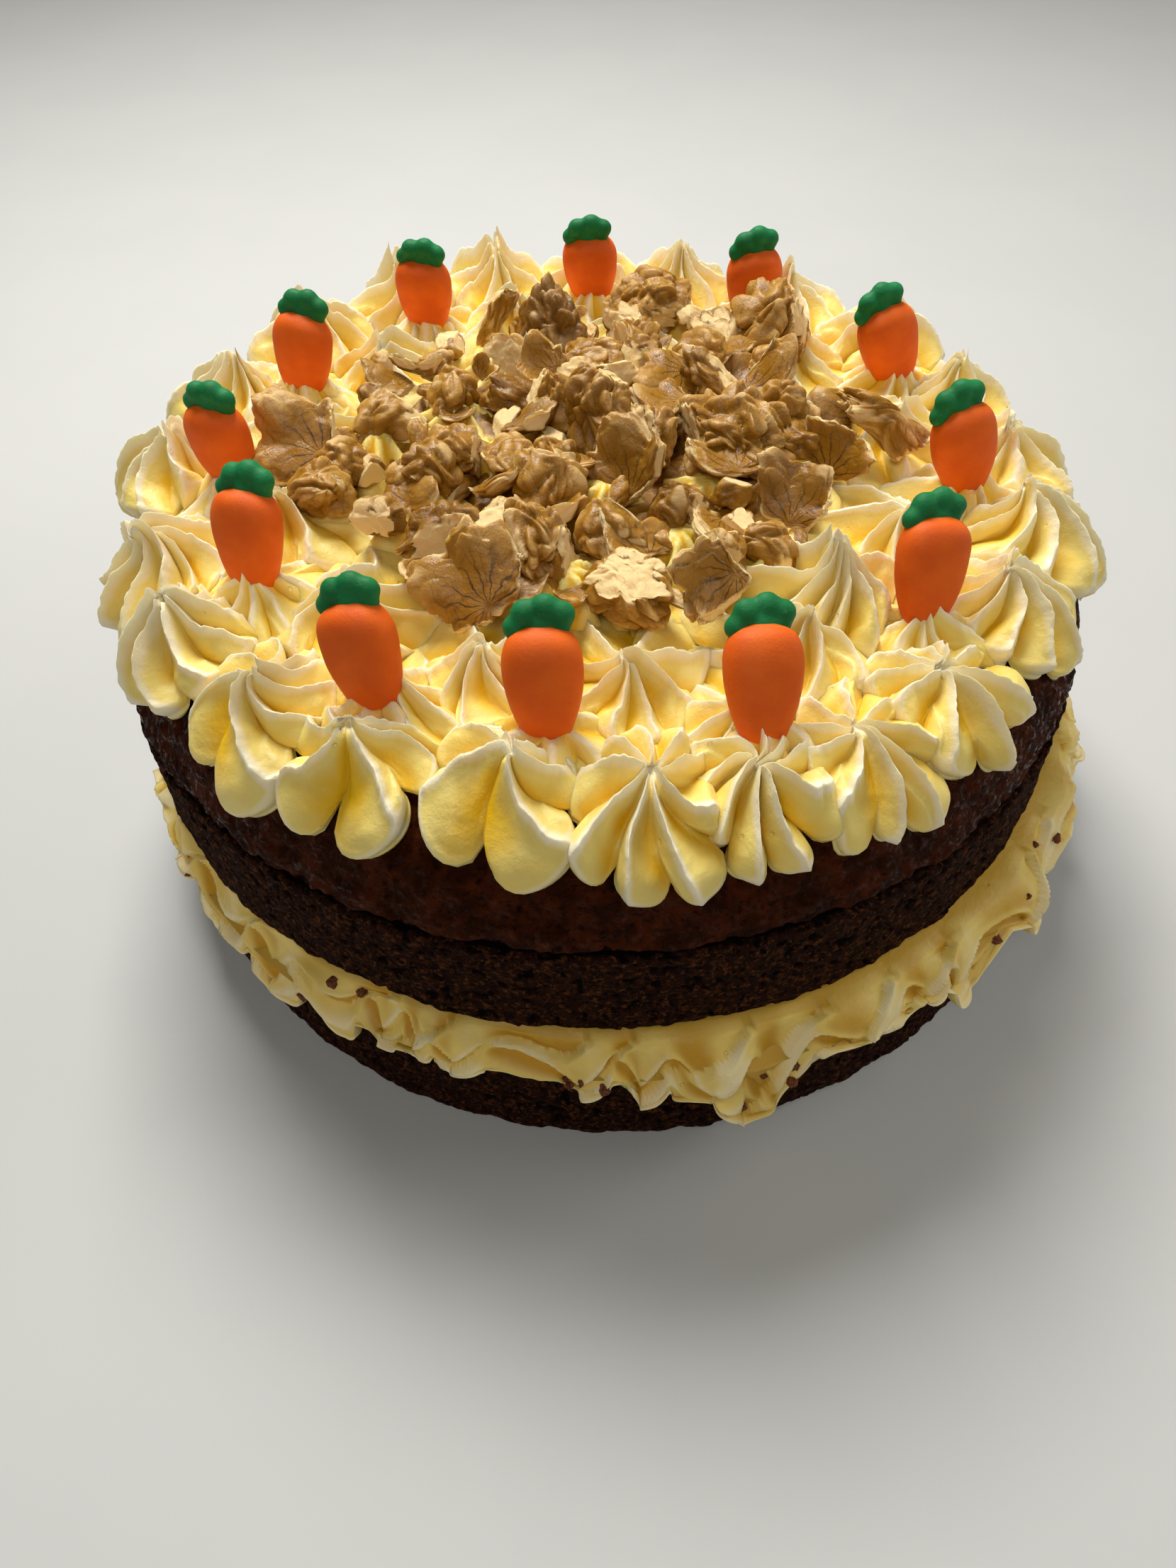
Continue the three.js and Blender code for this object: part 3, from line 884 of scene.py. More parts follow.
@dataclass
class CreamFilling:
    """Buttercream between the layers, squeezed out into a ruffled edge that hangs down in front."""

    bottom: float = 28.3
    top: float = 36.7
    start: float = 80.0  # where it begins, hidden between the layers
    under: float = 98.5  # where it comes out from under the upper layer
    mouth: float = 100.0
    wall: float = 102.9  # the lower layer's side, which it hangs in front of
    reach: float = 102.6
    shift_x: float = 1.2
    around: int = 1400
    reach_waves: tuple = ((1, 2.2, 0.4), (17, 1.1, -0.57), (26, 1.7, -1.57))
    # where it hangs down: angle and half width in degrees, then the drop
    lobes: tuple = ((-139, 6, 5), (-129, 4, 10), (-119.5, 2.2, 8), (-93, 2.2, 5), (-86.5, 1.6, 9.5),
                    (-82, 2.6, 8.5), (-75, 4.2, 22), (-57, 5, 2), (-47.5, 4.5, 13), (-34, 7, 9))
    folds: int = 42
    ruffle: float = 3.4
    sag: float = 0.5  # the share of a ruffle that goes down
    flare: float = 0.8  # the share of it that goes out
    rib_height: float = 1.0
    channel_depth: float = 0.8
    flap_height: float = 2.0
    form: LayerForm = LayerForm()

    def drop(self, angle: np.ndarray) -> np.ndarray:
        """How far the cream hangs below the gap.

        Args:
            angle: where, in radians.

        Returns:
            The drop at each angle.
        """
        degrees = np.degrees(np.arctan2(np.sin(angle), np.cos(angle)))
        drop = 0.8 + 1.6 * (1 + np.sin(9 * angle)) * (1 + np.cos(angle - math.pi / 2)) / 2
        for middle, width, depth in self.lobes:
            drop = np.maximum(drop, depth * np.exp(-(np.abs((degrees - middle) / width) ** 2.8)))
        return drop

    def path(self, angle: np.ndarray, circle: np.ndarray, lobe: np.ndarray) -> np.ndarray:
        """The sheet's path out of the gap, over its free edge and back behind it.

        Args:
            angle: the angles that it is wanted at.
            circle: (n, 3) points of a unit circle there, at which unevenness is read.
            lobe: 1 where a ruffle stands out most and 0 between two.

        Returns:
            (11, n, 2) radius and height. Point 1 is in the gap's mouth, 4 on the face of the sheet,
            6 at its lowest edge and 8 at the lower layer's side behind it.
        """
        drop = self.drop(angle)
        wall = self.wall * self.form.swell(angle) + GAP
        size = np.clip(0.95 + 0.8 * NOISE.at(circle * 5 + 3, 1), 0.35, 1.6)
        hang = self.ruffle * size * (lobe - 0.3) / (1 + 0.08 * drop)
        low = self.bottom - 0.9 * drop - self.sag * hang + 0.8 * NOISE.at(circle * 9, 1)
        low = np.minimum(low, self.bottom - 0.2)
        reach = self.reach + waves(self.reach_waves, angle)
        out = self.flare * self.ruffle * size * (lobe - 0.5) + 0.05 * drop
        middle = mix(self.bottom, self.top, 0.35) - 0.45 * drop
        same = np.ones_like(angle)
        return np.stack([
            np.stack([self.start * same, self.top * same], -1),
            np.stack([self.under * same, self.top * same], -1),
            np.stack([mix(self.mouth, reach, 0.3), self.top - 0.9 * same], -1),
            np.stack([mix(self.mouth, reach, 0.85) + 0.35 * out, mix(middle, self.top, 0.5)], -1),
            np.stack([np.maximum(reach + 0.6 * out, wall + 1), mix(middle, low, 0.45)], -1),
            np.stack([np.maximum(reach + 0.3 + out, wall + 1.6), low + 1.4], -1),
            np.stack([np.maximum(reach - 0.4 + out, wall + 0.8), low], -1),
            np.stack([np.maximum(reach - 2.4 + out, wall + 0.4),
                      np.minimum(low + 1.5, self.bottom)], -1),
            np.stack([wall, self.bottom - 0.35 * drop], -1),
            np.stack([wall, self.bottom * same], -1),
            np.stack([self.start * same, self.bottom * same], -1),
        ])

    def build(self, material: bpy.types.Material) -> bpy.types.Object:
        """Makes the filling.

        Args:
            material: what it is made of.

        Returns:
            The piece, for crumbs to lie on.
        """
        angle = np.arange(self.around) * TAU / self.around
        circle = np.stack([np.cos(angle), np.sin(angle), 0 * angle], -1)
        # the free edge is ruffled: it waves up and down, in and out, and back over itself
        wave = self.folds * angle + TAU * 1.6 * NOISE.at(circle * 3.3, 1)
        lobe = (0.5 + 0.5 * np.cos(wave)) ** 1.3
        steps = np.concatenate([np.linspace(0, 2, 5), np.linspace(2, 6.6, 48)[1:],
                                np.linspace(6.6, 10, 9)[1:]])
        rows = along(self.path(angle, circle, lobe), steps)
        v = steps[:, None]
        fold_length = np.clip(self.reach / np.maximum(np.gradient(wave, angle), 20), 1.0, 3.5)
        sideways = 0.45 * fold_length * np.sin(2 * wave) / self.reach
        # ribs that the nozzle left: one that waves above the edge and one close to it
        high_rib = 3.2 + 0.5 * np.cos(wave + 1.4) + 0.4 * NOISE.at(circle * 6, 1)
        rib = np.exp(-np.abs(v - high_rib) / 0.14) + 0.8 * np.exp(-np.abs(v - high_rib - 1.0) / 0.14)
        channel = np.exp(-(((v - high_rib - 0.5) / 0.25) ** 2)) + np.exp(-(((v - 4.85) / 0.22) ** 2))
        lip = np.exp(-(((v - 5.4) / 0.28) ** 2))
        # flaps that lie over each other, with edges that cross the sheet at a slant
        flap = (0.8 * wave / TAU + 0.3 * v + 0.8 * NOISE.at(circle * 4 + 7, 1)) % 1
        lines = rib + np.minimum(np.exp(-flap / 0.07), 1)
        flap = np.minimum(flap / 0.06, 1) * (1 - flap)
        free = ease(1.0, 2.2, v) * (1 - ease(5.8, 6.6, v))
        flat = 1 - ease(1.8, 3.2, v)
        rough = 0.5 * NOISE.at(np.stack(np.broadcast_arrays(angle * 100, v * 2.4, 3.0), -1), 7)
        fine = 0.2 * NOISE.at(np.stack(np.broadcast_arrays(angle * 100, v * 2.4, 9.0), -1), 2.2)
        relief = self.rib_height * (rib + 0.9 * lip) - self.channel_depth * channel
        relief = relief + self.flap_height * flap
        radius = rows[..., 0] + free * (relief + rough + fine)
        height = rows[..., 1] - free * flat * (1.2 + 0.5 * rough - self.flap_height * flap)
        turned = angle + sideways * ease(2.2, 5.0, v) * (1 - ease(6.4, 8.0, v))
        points = np.stack([radius * np.cos(turned) + self.shift_x, radius * np.sin(turned), height], -1)
        # the ridge value paints light and shade: lobes, flaps, ribs, flap edges and the lip get a
        # painted highlight; channels and the parts in the gap or behind the sheet get painted shade
        ridge = np.clip(0.5 * lobe + 0.3 * flap + 0.5 * lines - 0.3 * channel + 0.8 * lip, 0, 1)
        ridge = mix(0.2, ridge, free)
        skin = closed_skin(points, np.array([self.shift_x, 0, self.top]),
                           np.array([self.shift_x, 0, self.bottom]), ridge=ridge, stain=0 * ridge,
                           shown=free * (v < 5.4) * (points[..., 1] < 20))
        piece = skin.to_object("squeezed_filling", [material])
        ride_and_replace(piece, "filling", "filling")
        return piece


# -------------------- the piped stars


@dataclass
class Star:
    """One squeeze of the nozzle, placed on the rolled-out crust."""

    x: float
    y: float
    reach: float
    height: float
    turn: float
    twist: float
    curl: float
    droop: float = 0.0
    push: float = 1.0
    hook: float = 1.8  # how far its tip was pulled aside

    @classmethod
    def polar(cls, angle: float, ring: float, **rest: float) -> Star:
        """A star at an angle and a distance from the middle of the crust."""
        return cls(ring * math.cos(angle), ring * math.sin(angle), **rest)


@dataclass(frozen=True)
class StarBuild:
    """How a kind of star rises from its petals' ends to its tip, as shares of its reach and height.

    crest says how far off a petal's middle its sharp crest runs, as a share of half the petal. In a
    parted star the crests run outwards from a notch that faces the cake's edge.
    """

    shares: tuple
    ridge: tuple
    valley: tuple
    petals: int = 8
    unequal: float = 0.25
    crest: float = 0.25
    parted: bool = False
    notch: float = 0.4
    rings: int = 30
    fin: float = 1.0  # how much of a thin edge the crests have
    rise: float = 1.0  # how tall this kind stands next to the others

    def heights(self, share: np.ndarray) -> tuple[np.ndarray, np.ndarray]:
        """The height of a ridge and of the valley beside it at shares of the reach."""
        steps = np.interp(share, self.shares, np.arange(len(self.shares)))
        return along(np.array(self.ridge), steps), along(np.array(self.valley), steps)


TALL = {
    "shares": (0, 0.08, 0.15, 0.3, 0.5, 0.72, 0.9, 1),
    "ridge": (0.9, 0.96, 0.88, 0.73, 0.64, 0.55, 0.44, 0.25),
    "valley": (0.86, 0.82, 0.58, 0.38, 0.25, 0.17, 0.12, 0.09),
}
RIBBED_STAR = StarBuild(**TALL, petals=9, unequal=0.35, crest=0.3)
FULL_STAR = StarBuild(**TALL, petals=9, unequal=0.5, crest=0.4)
PARTED_STAR = StarBuild(**TALL, petals=8, unequal=0.3, crest=0.5, parted=True, notch=0.55)
PRESSED_STAR = StarBuild(
    shares=(0, 0.08, 0.2, 0.45, 0.7, 0.9, 1),
    ridge=(0.8, 0.92, 1.0, 1.0, 0.94, 0.75, 0.4),
    valley=(0.74, 0.6, 0.46, 0.34, 0.24, 0.16, 0.12),
    petals=9, unequal=0.5, crest=0.35, rise=0.56,
)
LOW_STAR = StarBuild(
    shares=(0, 0.08, 0.2, 0.45, 0.7, 0.9, 1),
    ridge=(1.0, 0.94, 0.82, 0.66, 0.52, 0.4, 0.2),
    valley=(0.92, 0.78, 0.55, 0.34, 0.22, 0.14, 0.1),
    petals=8, unequal=0.35, crest=0.4, rings=24,
)
SEAT_STAR = StarBuild(
    shares=(0, 0.08, 0.2, 0.32, 0.45, 0.7, 0.9, 1),
    ridge=(1.0, 0.94, 0.84, 0.76, 0.68, 0.54, 0.4, 0.2),
    valley=(0.98, 0.91, 0.78, 0.63, 0.44, 0.25, 0.14, 0.1),
    petals=8, unequal=0.35, crest=0.4, rings=24, fin=0.6,
)
COLLAR = StarBuild(
    shares=(0, 0.2, 0.4, 0.52, 0.7, 0.88, 1),
    ridge=(0.8, 0.92, 1.0, 0.92, 0.7, 0.5, 0.22),
    valley=(0.8, 0.9, 0.93, 0.8, 0.5, 0.22, 0.12),
    petals=6, unequal=0.5, crest=0.4, rings=24, fin=0.2,
)


@dataclass
class PetalSteps:
    """The steps round a star: each one's angle, its place u in its petal from -1 to 1, the place of
    the petal's crest, the petal's number and half its width in radians."""

    angle: np.ndarray
    u: np.ndarray
    crest: np.ndarray
    petal: np.ndarray
    half: np.ndarray


@dataclass
class StarFolds:
    """What lies at each point of a star, from 0 to about 1: how far up its petal's side it is, the
    thin edge of a crest, the edge beside it where the icing folded over, and how pale it is."""

    hump: np.ndarray
    line: np.ndarray
    second: np.ndarray
    fin: np.ndarray


@dataclass
class PipedIcing:
    """All the icing on the crust: rim stars, seat stars, a large star and the middle."""

    crust: Crust
    seats: tuple
    squash: float = 1.1  # how far neighbours press into each other
    shoulder_lift: float = 0.7
    # how a petal's end turns under: shares of its reach, and of its height there
    under_share: tuple = (1.012, 1.0, 1.03, 1.045, 1.02, 0.93, 0.5)
    under_level: tuple = (0.8, 0.62, 0.5, 0.3, 0.1, 0, 0)
    stain: float = 0.55  # how much of the carrots' colour has run into their collars
    stain_reach: float = 5.5
    # the numbers that each group's own unevenness starts from, after the rim's
    seat_first: int = 40
    large_first: int = 60
    inner_first: int = 70
    collar_first: int = 90
    rim_angles: tuple = (-160, -146, -130, -116, -99, -84, -72, -60, -46, -29, -12,
                         3, 21, 39, 57, 76, 92, 108, 124, 141, 159, 179)
    rim_builds: tuple = (
        FULL_STAR, RIBBED_STAR, PARTED_STAR, PARTED_STAR, PARTED_STAR, PRESSED_STAR, PRESSED_STAR,
        PRESSED_STAR, PRESSED_STAR, RIBBED_STAR, FULL_STAR, RIBBED_STAR, FULL_STAR, RIBBED_STAR,
        FULL_STAR, RIBBED_STAR, FULL_STAR, FULL_STAR, RIBBED_STAR, FULL_STAR, RIBBED_STAR, FULL_STAR)
    rim_ring: float = 84.0
    rim_front: float = 2.2
    rim_right: float = 2.2
    rim_insets: tuple = ((4, 3.4), (5, 1.4), (6, 0.6))  # stars that stand further in
    rim_height: float = 13.2
    rim_back_rise: float = 3.2
    rim_reach: float = 14.6
    seat_ring: float = 74.0
    inner_ring: float = 62.0
    large_angle: float = math.radians(-45)
    large_ring: float = 59.0
    large_room: float = 12.5  # an inner star that is closer to the large one is left out
    near: float = 60.0  # stars further apart than this never meet
    bed_radius: float = 52.0
    bed_height: float = 7.4
    bed_floor: float = 3.2
    bed_stars: int = 19
    bed_star_reach: float = 13.5

    def __post_init__(self) -> None:
        """Lays out the stars, all but a few where the CAD model has them."""
        self.rim = [self.rim_star(i, math.radians(a)) for i, a in enumerate(self.rim_angles)]
        self.seated = [self.seat_star(i, seat) for i, seat in enumerate(self.seats)]
        self.large = Star.polar(self.large_angle, self.large_ring, reach=25, height=18, push=1.4,
                                turn=self.large_angle, twist=0.35, curl=2.6)
        inner = [self.inner_star(i) for i in range(len(self.seats))]
        self.inner = [star for star in inner
                      if math.hypot(star.x - self.large.x, star.y - self.large.y) > self.large_room]
        self.stars = [*self.rim, *self.seated, *self.inner, self.large]

    def rim_star(self, i: int, angle: float) -> Star:
        """Lays out one of the stars round the rim.

        Args:
            i: which one it is.
            angle: where it stands.

        Returns:
            The star.
        """
        ring = self.rim_ring - self.rim_front * math.sin(angle)
        ring -= self.rim_right * max(0, math.cos(angle))
        ring -= dict(self.rim_insets).get(i, 0)
        height = self.rim_height + self.rim_back_rise * max(0, math.sin(angle))
        return Star.polar(
            angle, ring + 0.8 * wander(i, Draw.RIM_RING),
            reach=self.rim_reach + 0.9 * wander(i, Draw.RIM_REACH),
            droop=1 + 1.4 * wander(i, Draw.RIM_DROOP),
            height=self.rim_builds[i].rise * (height + 1.4 * wander(i, Draw.RIM_HEIGHT)),
            turn=angle + 0.5 * wander(i, Draw.RIM_TURN),
            twist=0.5 * wander(i, Draw.RIM_TWIST),
            curl=math.pi * wander(i, Draw.RIM_CURL),
        )

    def seat_star(self, i: int, seat: tuple) -> Star:
        """Lays out the star that a carrot is pressed into.

        Args:
            i: the carrot's number.
            seat: the carrot's place.

        Returns:
            The star.
        """
        angle, distance = math.radians(seat[0]), seat[1]
        x = distance * math.cos(angle) - self.crust.shift_x
        y = distance * math.sin(angle)
        return Star.polar(math.atan2(y, x), min(math.hypot(x, y), self.seat_ring), reach=21,
                          height=9 + 0.8 * wander(i, Draw.SEAT_HEIGHT), turn=i * 1.7,
                          twist=0.2 * wander(i, Draw.SEAT_TWIST), curl=0)

    def inner_star(self, i: int) -> Star:
        """Lays out the star in the space after a carrot.

        Args:
            i: the carrot's number.

        Returns:
            The star.
        """
        here, after = self.seats[i][0], self.seats[(i + 1) % len(self.seats)][0]
        angle = math.radians(here + ((after - here) % 360) / 2)
        return Star.polar(angle, self.inner_ring + 1.5 * wander(i, Draw.INNER_RING), reach=22,
                          height=12 + wander(i, Draw.INNER_HEIGHT), turn=i * 2.3,
                          twist=0.6 * wander(i, Draw.INNER_TWIST),
                          curl=math.pi * wander(i, Draw.INNER_CURL))

    def room(self, star: Star, angle: np.ndarray) -> np.ndarray:
        """How far a star may spread before it meets a neighbour.

        Args:
            star: the star.
            angle: angles round its middle.

        Returns:
            The distance at each angle.
        """
        room = np.full_like(angle, np.inf)
        for other in self.stars:
            away = math.hypot(other.x - star.x, other.y - star.y)
            if other is star or away > self.near:
                continue
            facing = np.cos(angle - math.atan2(other.y - star.y, other.x - star.x))
            middle = away * star.push / (star.push + other.push)
            limit = (middle - GAP / 2) / np.maximum(facing, 0.05)
            room = np.where(facing < 0.05, room, np.minimum(room, limit))
        return room

    def petal_steps(self, star: Star, build: StarBuild, draw: np.random.Generator) -> PetalSteps:
        """Divides a star into petals and each petal into steps, which are closest at its crest.

        Args:
            star: the star.
            build: how its kind is made.
            draw: what the petals' differences are drawn from.

        Returns:
            The steps.
        """
        outwards = math.atan2(star.y, star.x)
        weights = 1 + build.unequal * draw.uniform(-1, 1, build.petals)
        if build.parted:
            weights[0] += draw.uniform(0.5, 1.9)
            weights[-1] += draw.uniform(0.5, 1.9)
        edges = np.concatenate([[0], np.cumsum(weights)]) / weights.sum() * TAU
        edges += outwards + 0.2 * draw.uniform(-1, 1) if build.parted else star.turn
        lean = draw.choice([-1, 1])
        before = -(np.linspace(1, 0, 15)[:-1] ** 1.3)
        after = np.linspace(0, 1, 12)[:-1] ** 1.3
        rows = []
        for j in range(build.petals):
            middle, width = (edges[j] + edges[j + 1]) / 2, (edges[j + 1] - edges[j]) / 2
            side = np.sign(math.sin(middle - outwards)) if build.parted else lean
            c = build.crest * side * draw.uniform(0.75, 1.25)
            steps = c + np.concatenate([before * (1 + c), after * (1 - c)])
            same = np.ones(len(steps))
            rows.append((middle + width * steps, steps, c * same, j * same.astype(int), width * same))
        return PetalSteps(*(np.concatenate(row) for row in zip(*rows)))

    def plan(self, star: Star, build: StarBuild, p: PetalSteps, share: np.ndarray, track: np.ndarray,
             draw: np.random.Generator) -> tuple[np.ndarray, np.ndarray, np.ndarray]:
        """Lays out a star on the rolled-out crust.

        Args:
            star: its place and sizes.
            build: how its kind is made.
            p: its petals' steps.
            share: the rows' shares of the way out.
            track: where the unevenness of each row and step is read.
            draw: what the petals' differences are drawn from.

        Returns:
            Each point's angle and distance from the star's middle, and how tall its petal stands.
        """
        s = share[:, None]
        length = 1 + draw.uniform(-0.14, 0.08, build.petals)[p.petal]
        tall = 1 + draw.uniform(-0.16, 0.1, build.petals)[p.petal]
        bend = draw.uniform(-0.25, 0.25, build.petals)[p.petal]
        # crests sway on their way down
        sway = 0.2 * NOISE.at(track, 1.0) + bend * np.sin(math.pi * s) + 0.05 * NOISE.at(track, 0.22)
        turned = star.twist * 1.6 * (1 - s) + 0.12 * bend[0] * np.sin(TAU * s)
        angle = p.angle + turned + np.clip(sway, -0.45, 0.45) * p.half * (1 - p.u**2)
        down = np.maximum(0, np.cos(angle - math.atan2(star.y, star.x))) ** 2
        depth = build.notch * np.clip(p.half / 0.5, 0.5, 1.15)
        petal = 1 - depth * (1 - np.sqrt(1 - 0.985 * np.abs(p.u) ** 2.8))
        spread = np.minimum((star.reach + star.droop * down) * length * petal,
                            self.room(star, angle) + self.squash)
        return angle, spread * s, tall * (1 + 0.2 * NOISE.at(track + 50, 1.3))

    def folds(self, build: StarBuild, p: PetalSteps, share: np.ndarray, reach: np.ndarray) -> StarFolds:
        """Works out the crests, edges and valleys of a star.

        Args:
            build: how its kind is made.
            p: its petals' steps.
            share: the rows' shares of the way out.
            reach: each point's distance from the star's middle.

        Returns:
            The folds.
        """
        s = share[:, None]
        wide = np.where(p.u < p.crest, 1 + p.crest, 1 - p.crest)
        away = np.abs(p.u - p.crest) / wide
        end = ease(0.3, 0.95, s)
        millimetres = np.abs(p.u - p.crest) * p.half * reach
        rounded = 0.5 + 0.5 * np.cos(math.pi * away)
        sharp = 0.42 * rounded + 0.58 * np.exp(-((millimetres / 1.15) ** 1.2))
        hump = mix(mix(rounded, sharp, build.fin), 0.9 - 0.8 * away**2.3, end)
        line = np.exp(-((millimetres / 0.75) ** 1.4)) * ease(0.02, 0.12, s)
        # a second, lower edge where the icing folded over, and a thin edge round the petal's end
        second = np.exp(-np.abs(millimetres - 1.9) / 0.35) * (wide < 1) * ease(0.2, 0.4, s)
        second = np.maximum(second, ease(0.9, 0.98, s) * (1 - away**6))
        # how pale: a painted highlight on the crest's edge, the folded edge and the tip
        fin = np.exp(-((millimetres / 0.8) ** 2)) + 0.7 * second + 0.5 * (1 - ease(0.0, 0.12, s))
        return StarFolds(hump, line, second, fin)

    def star_skin(self, star: Star, build: StarBuild, number: int, stain: float = 0.0) -> Skin:
        """Makes the surface of one star.

        Args:
            star: its place and sizes.
            build: how its kind is made.
            number: which one it is, for its own unevenness.
            stain: how much the carrot's colour has run into its middle.

        Returns:
            The star's surface.
        """
        draw = np.random.default_rng(100 + number)
        p = self.petal_steps(star, build, draw)
        share = np.concatenate([np.linspace(0, 0.2, 9)[1:], np.linspace(0.2, 1, build.rings - 7)[1:]])
        s = share[:, None]
        track = np.stack(np.broadcast_arrays(s * 3.2, 9.0 * p.petal, 5.0 * number), -1)
        angle, reach, tall = self.plan(star, build, p, share, track, draw)
        folds = self.folds(build, p, share, reach)
        ridge, valley = (h[:, None] for h in build.heights(share))
        level = valley + (ridge * tall - valley) * folds.hump
        # the petals' ends bulge and turn under
        under_share, under_level = np.array(self.under_share), np.array(self.under_level)
        x = star.x + np.concatenate([reach * np.cos(angle),
                                     under_share[:, None] * reach[-1] * np.cos(angle[-1])])
        y = star.y + np.concatenate([reach * np.sin(angle),
                                     under_share[:, None] * reach[-1] * np.sin(angle[-1])])
        foot = GAP + self.shoulder_lift * ease(self.crust.flat - 6, self.crust.flat + 4, np.hypot(x, y))
        top = star.height * np.concatenate([level, under_level[:, None] * level[-1]])
        top[:len(share)] += build.fin * (1.5 * folds.line * mix(0.9, 0.7, s) + 1.0 * folds.second)
        tip = np.exp(-((np.concatenate([share, under_share * 0 + 1]) / 0.1) ** 2))[:, None]
        x = x + tip * star.hook * math.cos(star.curl)
        y = y + tip * star.hook * math.sin(star.curl)
        flat = np.stack([x, y, np.full_like(x, 7.0 * number)], -1)
        soft = 0.5 * NOISE.at(flat, 6) + 0.25 * NOISE.at(flat, 2.4)
        torn = 0.45 * folds.line * NOISE.at(flat[:len(share)], 0.9)
        torn = torn + 1.1 * (1 - ease(0.07, 0.18, s)) * NOISE.at(flat[:len(share)], 1.25)
        soft[:len(share)] += torn
        on_top = np.concatenate([ease(0, 0.15, share) * 0.4 + 0.6, under_level])[:, None]
        height = np.maximum(np.maximum(top, foot) + soft * on_top, foot)
        points = self.crust.place(x, y, height)
        middle = points[0].mean(axis=0)
        below = self.crust.place(np.array([star.x]), np.array([star.y]), np.array([GAP]))[0]
        # pale on humps and whitest on fins and folded edges: painted highlight; low in the valleys,
        # where the finish paints shade
        crest = np.clip(0.52 * np.clip(folds.hump, 0, 1) ** 0.8 + 0.5 * folds.fin, 0, 1)
        crest = np.concatenate([crest, mix(crest[-1], 0.5, 1 - under_level[:, None])])
        crest = np.clip(crest + 0.1 * NOISE.at(flat, 3.2), 0, 1)
        run = stain * np.exp(-((np.hypot(x - star.x, y - star.y) / self.stain_reach) ** 2))
        return closed_skin(points, middle, below, ridge=crest, stain=run)

    def collar(self, i: int, seat: tuple) -> Star:
        """Lays out the icing that was pushed up round a carrot.

        Args:
            i: the carrot's number.
            seat: the carrot's place and leans.

        Returns:
            It, as a small star.
        """
        angle, distance, to_right, to_back = math.radians(seat[0]), *seat[1:]
        x = distance * math.cos(angle) - self.crust.shift_x + 4 * math.tan(math.radians(to_right))
        y = distance * math.sin(angle) + 4 * math.tan(math.radians(to_back))
        return Star(x, y, reach=10.5 + wander(i, Draw.COLLAR_REACH),
                    height=7.6 + 0.8 * wander(i, Draw.COLLAR_HEIGHT), turn=i * 2.9,
                    twist=0.3 * wander(i, Draw.COLLAR_TWIST), curl=0, push=9, hook=0)

    def middle_skin(self) -> Skin:
        """Makes the bed under the walnuts: low stars piped close together.

        Returns:
            Its surface.
        """
        rings, places = 74, 300
        angle = np.arange(places) * TAU / places
        share = np.linspace(0, 1, rings + 1)[1:, None]
        distance = self.bed_radius * share
        x, y = distance * np.cos(angle), distance * np.sin(angle)
        level = np.full_like(x, self.bed_floor)
        crest = np.full_like(x, 0.3)
        for i in range(self.bed_stars):
            ring = self.bed_radius * 0.9 * math.sqrt(i / self.bed_stars)
            turn = i * GOLDEN_ANGLE
            dx, dy = x - ring * math.cos(turn), y - ring * math.sin(turn)
            far = np.hypot(dx, dy) / self.bed_star_reach
            petals = np.arctan2(dy, dx) / TAU * LOW_STAR.petals
            u = (petals + wander(i, Draw.BED_TURN) + 0.9 * far) % 1 * 2 - 1
            ridge, valley = LOW_STAR.heights(np.clip(far, 0.25, 1))
            valley = mix(ridge, valley, ease(0.1, 0.45, far))
            hump = mix(0.5 + 0.5 * np.cos(math.pi * u), 1 - u**2, ease(0.3, 0.9, far))
            height = self.bed_height + 7.0 + wander(i, Draw.BED_HEIGHT)
            star = height * (valley + (ridge - valley) * hump)
            higher = (star > level) & (far < 1)
            level = np.where(higher, star, level)
            crest = np.where(higher, hump, crest)
        flat = np.stack([x, y, np.zeros_like(x)], -1)
        level = level + 0.5 * NOISE.at(flat, 5)
        level = GAP + (level - GAP) * (1 - ease(0.93, 1.0, share))
        start = self.crust.place(np.zeros(1), np.zeros(1), np.array([self.bed_height]))[0]
        end = self.crust.place(np.zeros(1), np.zeros(1), np.array([GAP]))[0]
        # the bed's ridge is scaled down, so more of it takes the grooves' yellow: painted shade under
        # the walnuts
        return closed_skin(self.crust.place(x, y, level), start, end, ridge=0.6 * crest, stain=0 * crest)

    def build(self, material: bpy.types.Material) -> None:
        """Makes every star and the bed.

        Args:
            material: what they are made of.
        """
        for i, star in enumerate(self.rim):
            skin = self.star_skin(star, self.rim_builds[i], i)
            piece = skin.to_object(f"rim_star_{i + 1:02d}", [material])
            ride_and_replace(piece, "icing", f"star_rim_{i + 1:02d}")
        for i, star in enumerate(self.seated):
            skin = self.star_skin(star, SEAT_STAR, self.seat_first + i)
            collar = self.star_skin(self.collar(i, self.seats[i]), COLLAR, self.collar_first + i,
                                    stain=self.stain)
            piece = skin.joined(collar).to_object(f"seat_star_{i + 1:02d}", [material])
            ride_and_replace(piece, "icing", f"star_seat_{i + 1:02d}")
        large = self.star_skin(self.large, FULL_STAR, self.large_first)
        ride_and_replace(large.to_object("large_star", [material]), "icing", "star_large")
        middle = self.middle_skin()
        for i, star in enumerate(self.inner):
            middle = middle.joined(self.star_skin(star, LOW_STAR, self.inner_first + i))
        ride_and_replace(middle.to_object("middle_icing", [material]), "icing", "icing_centre")


# -------------------- the sugar carrots


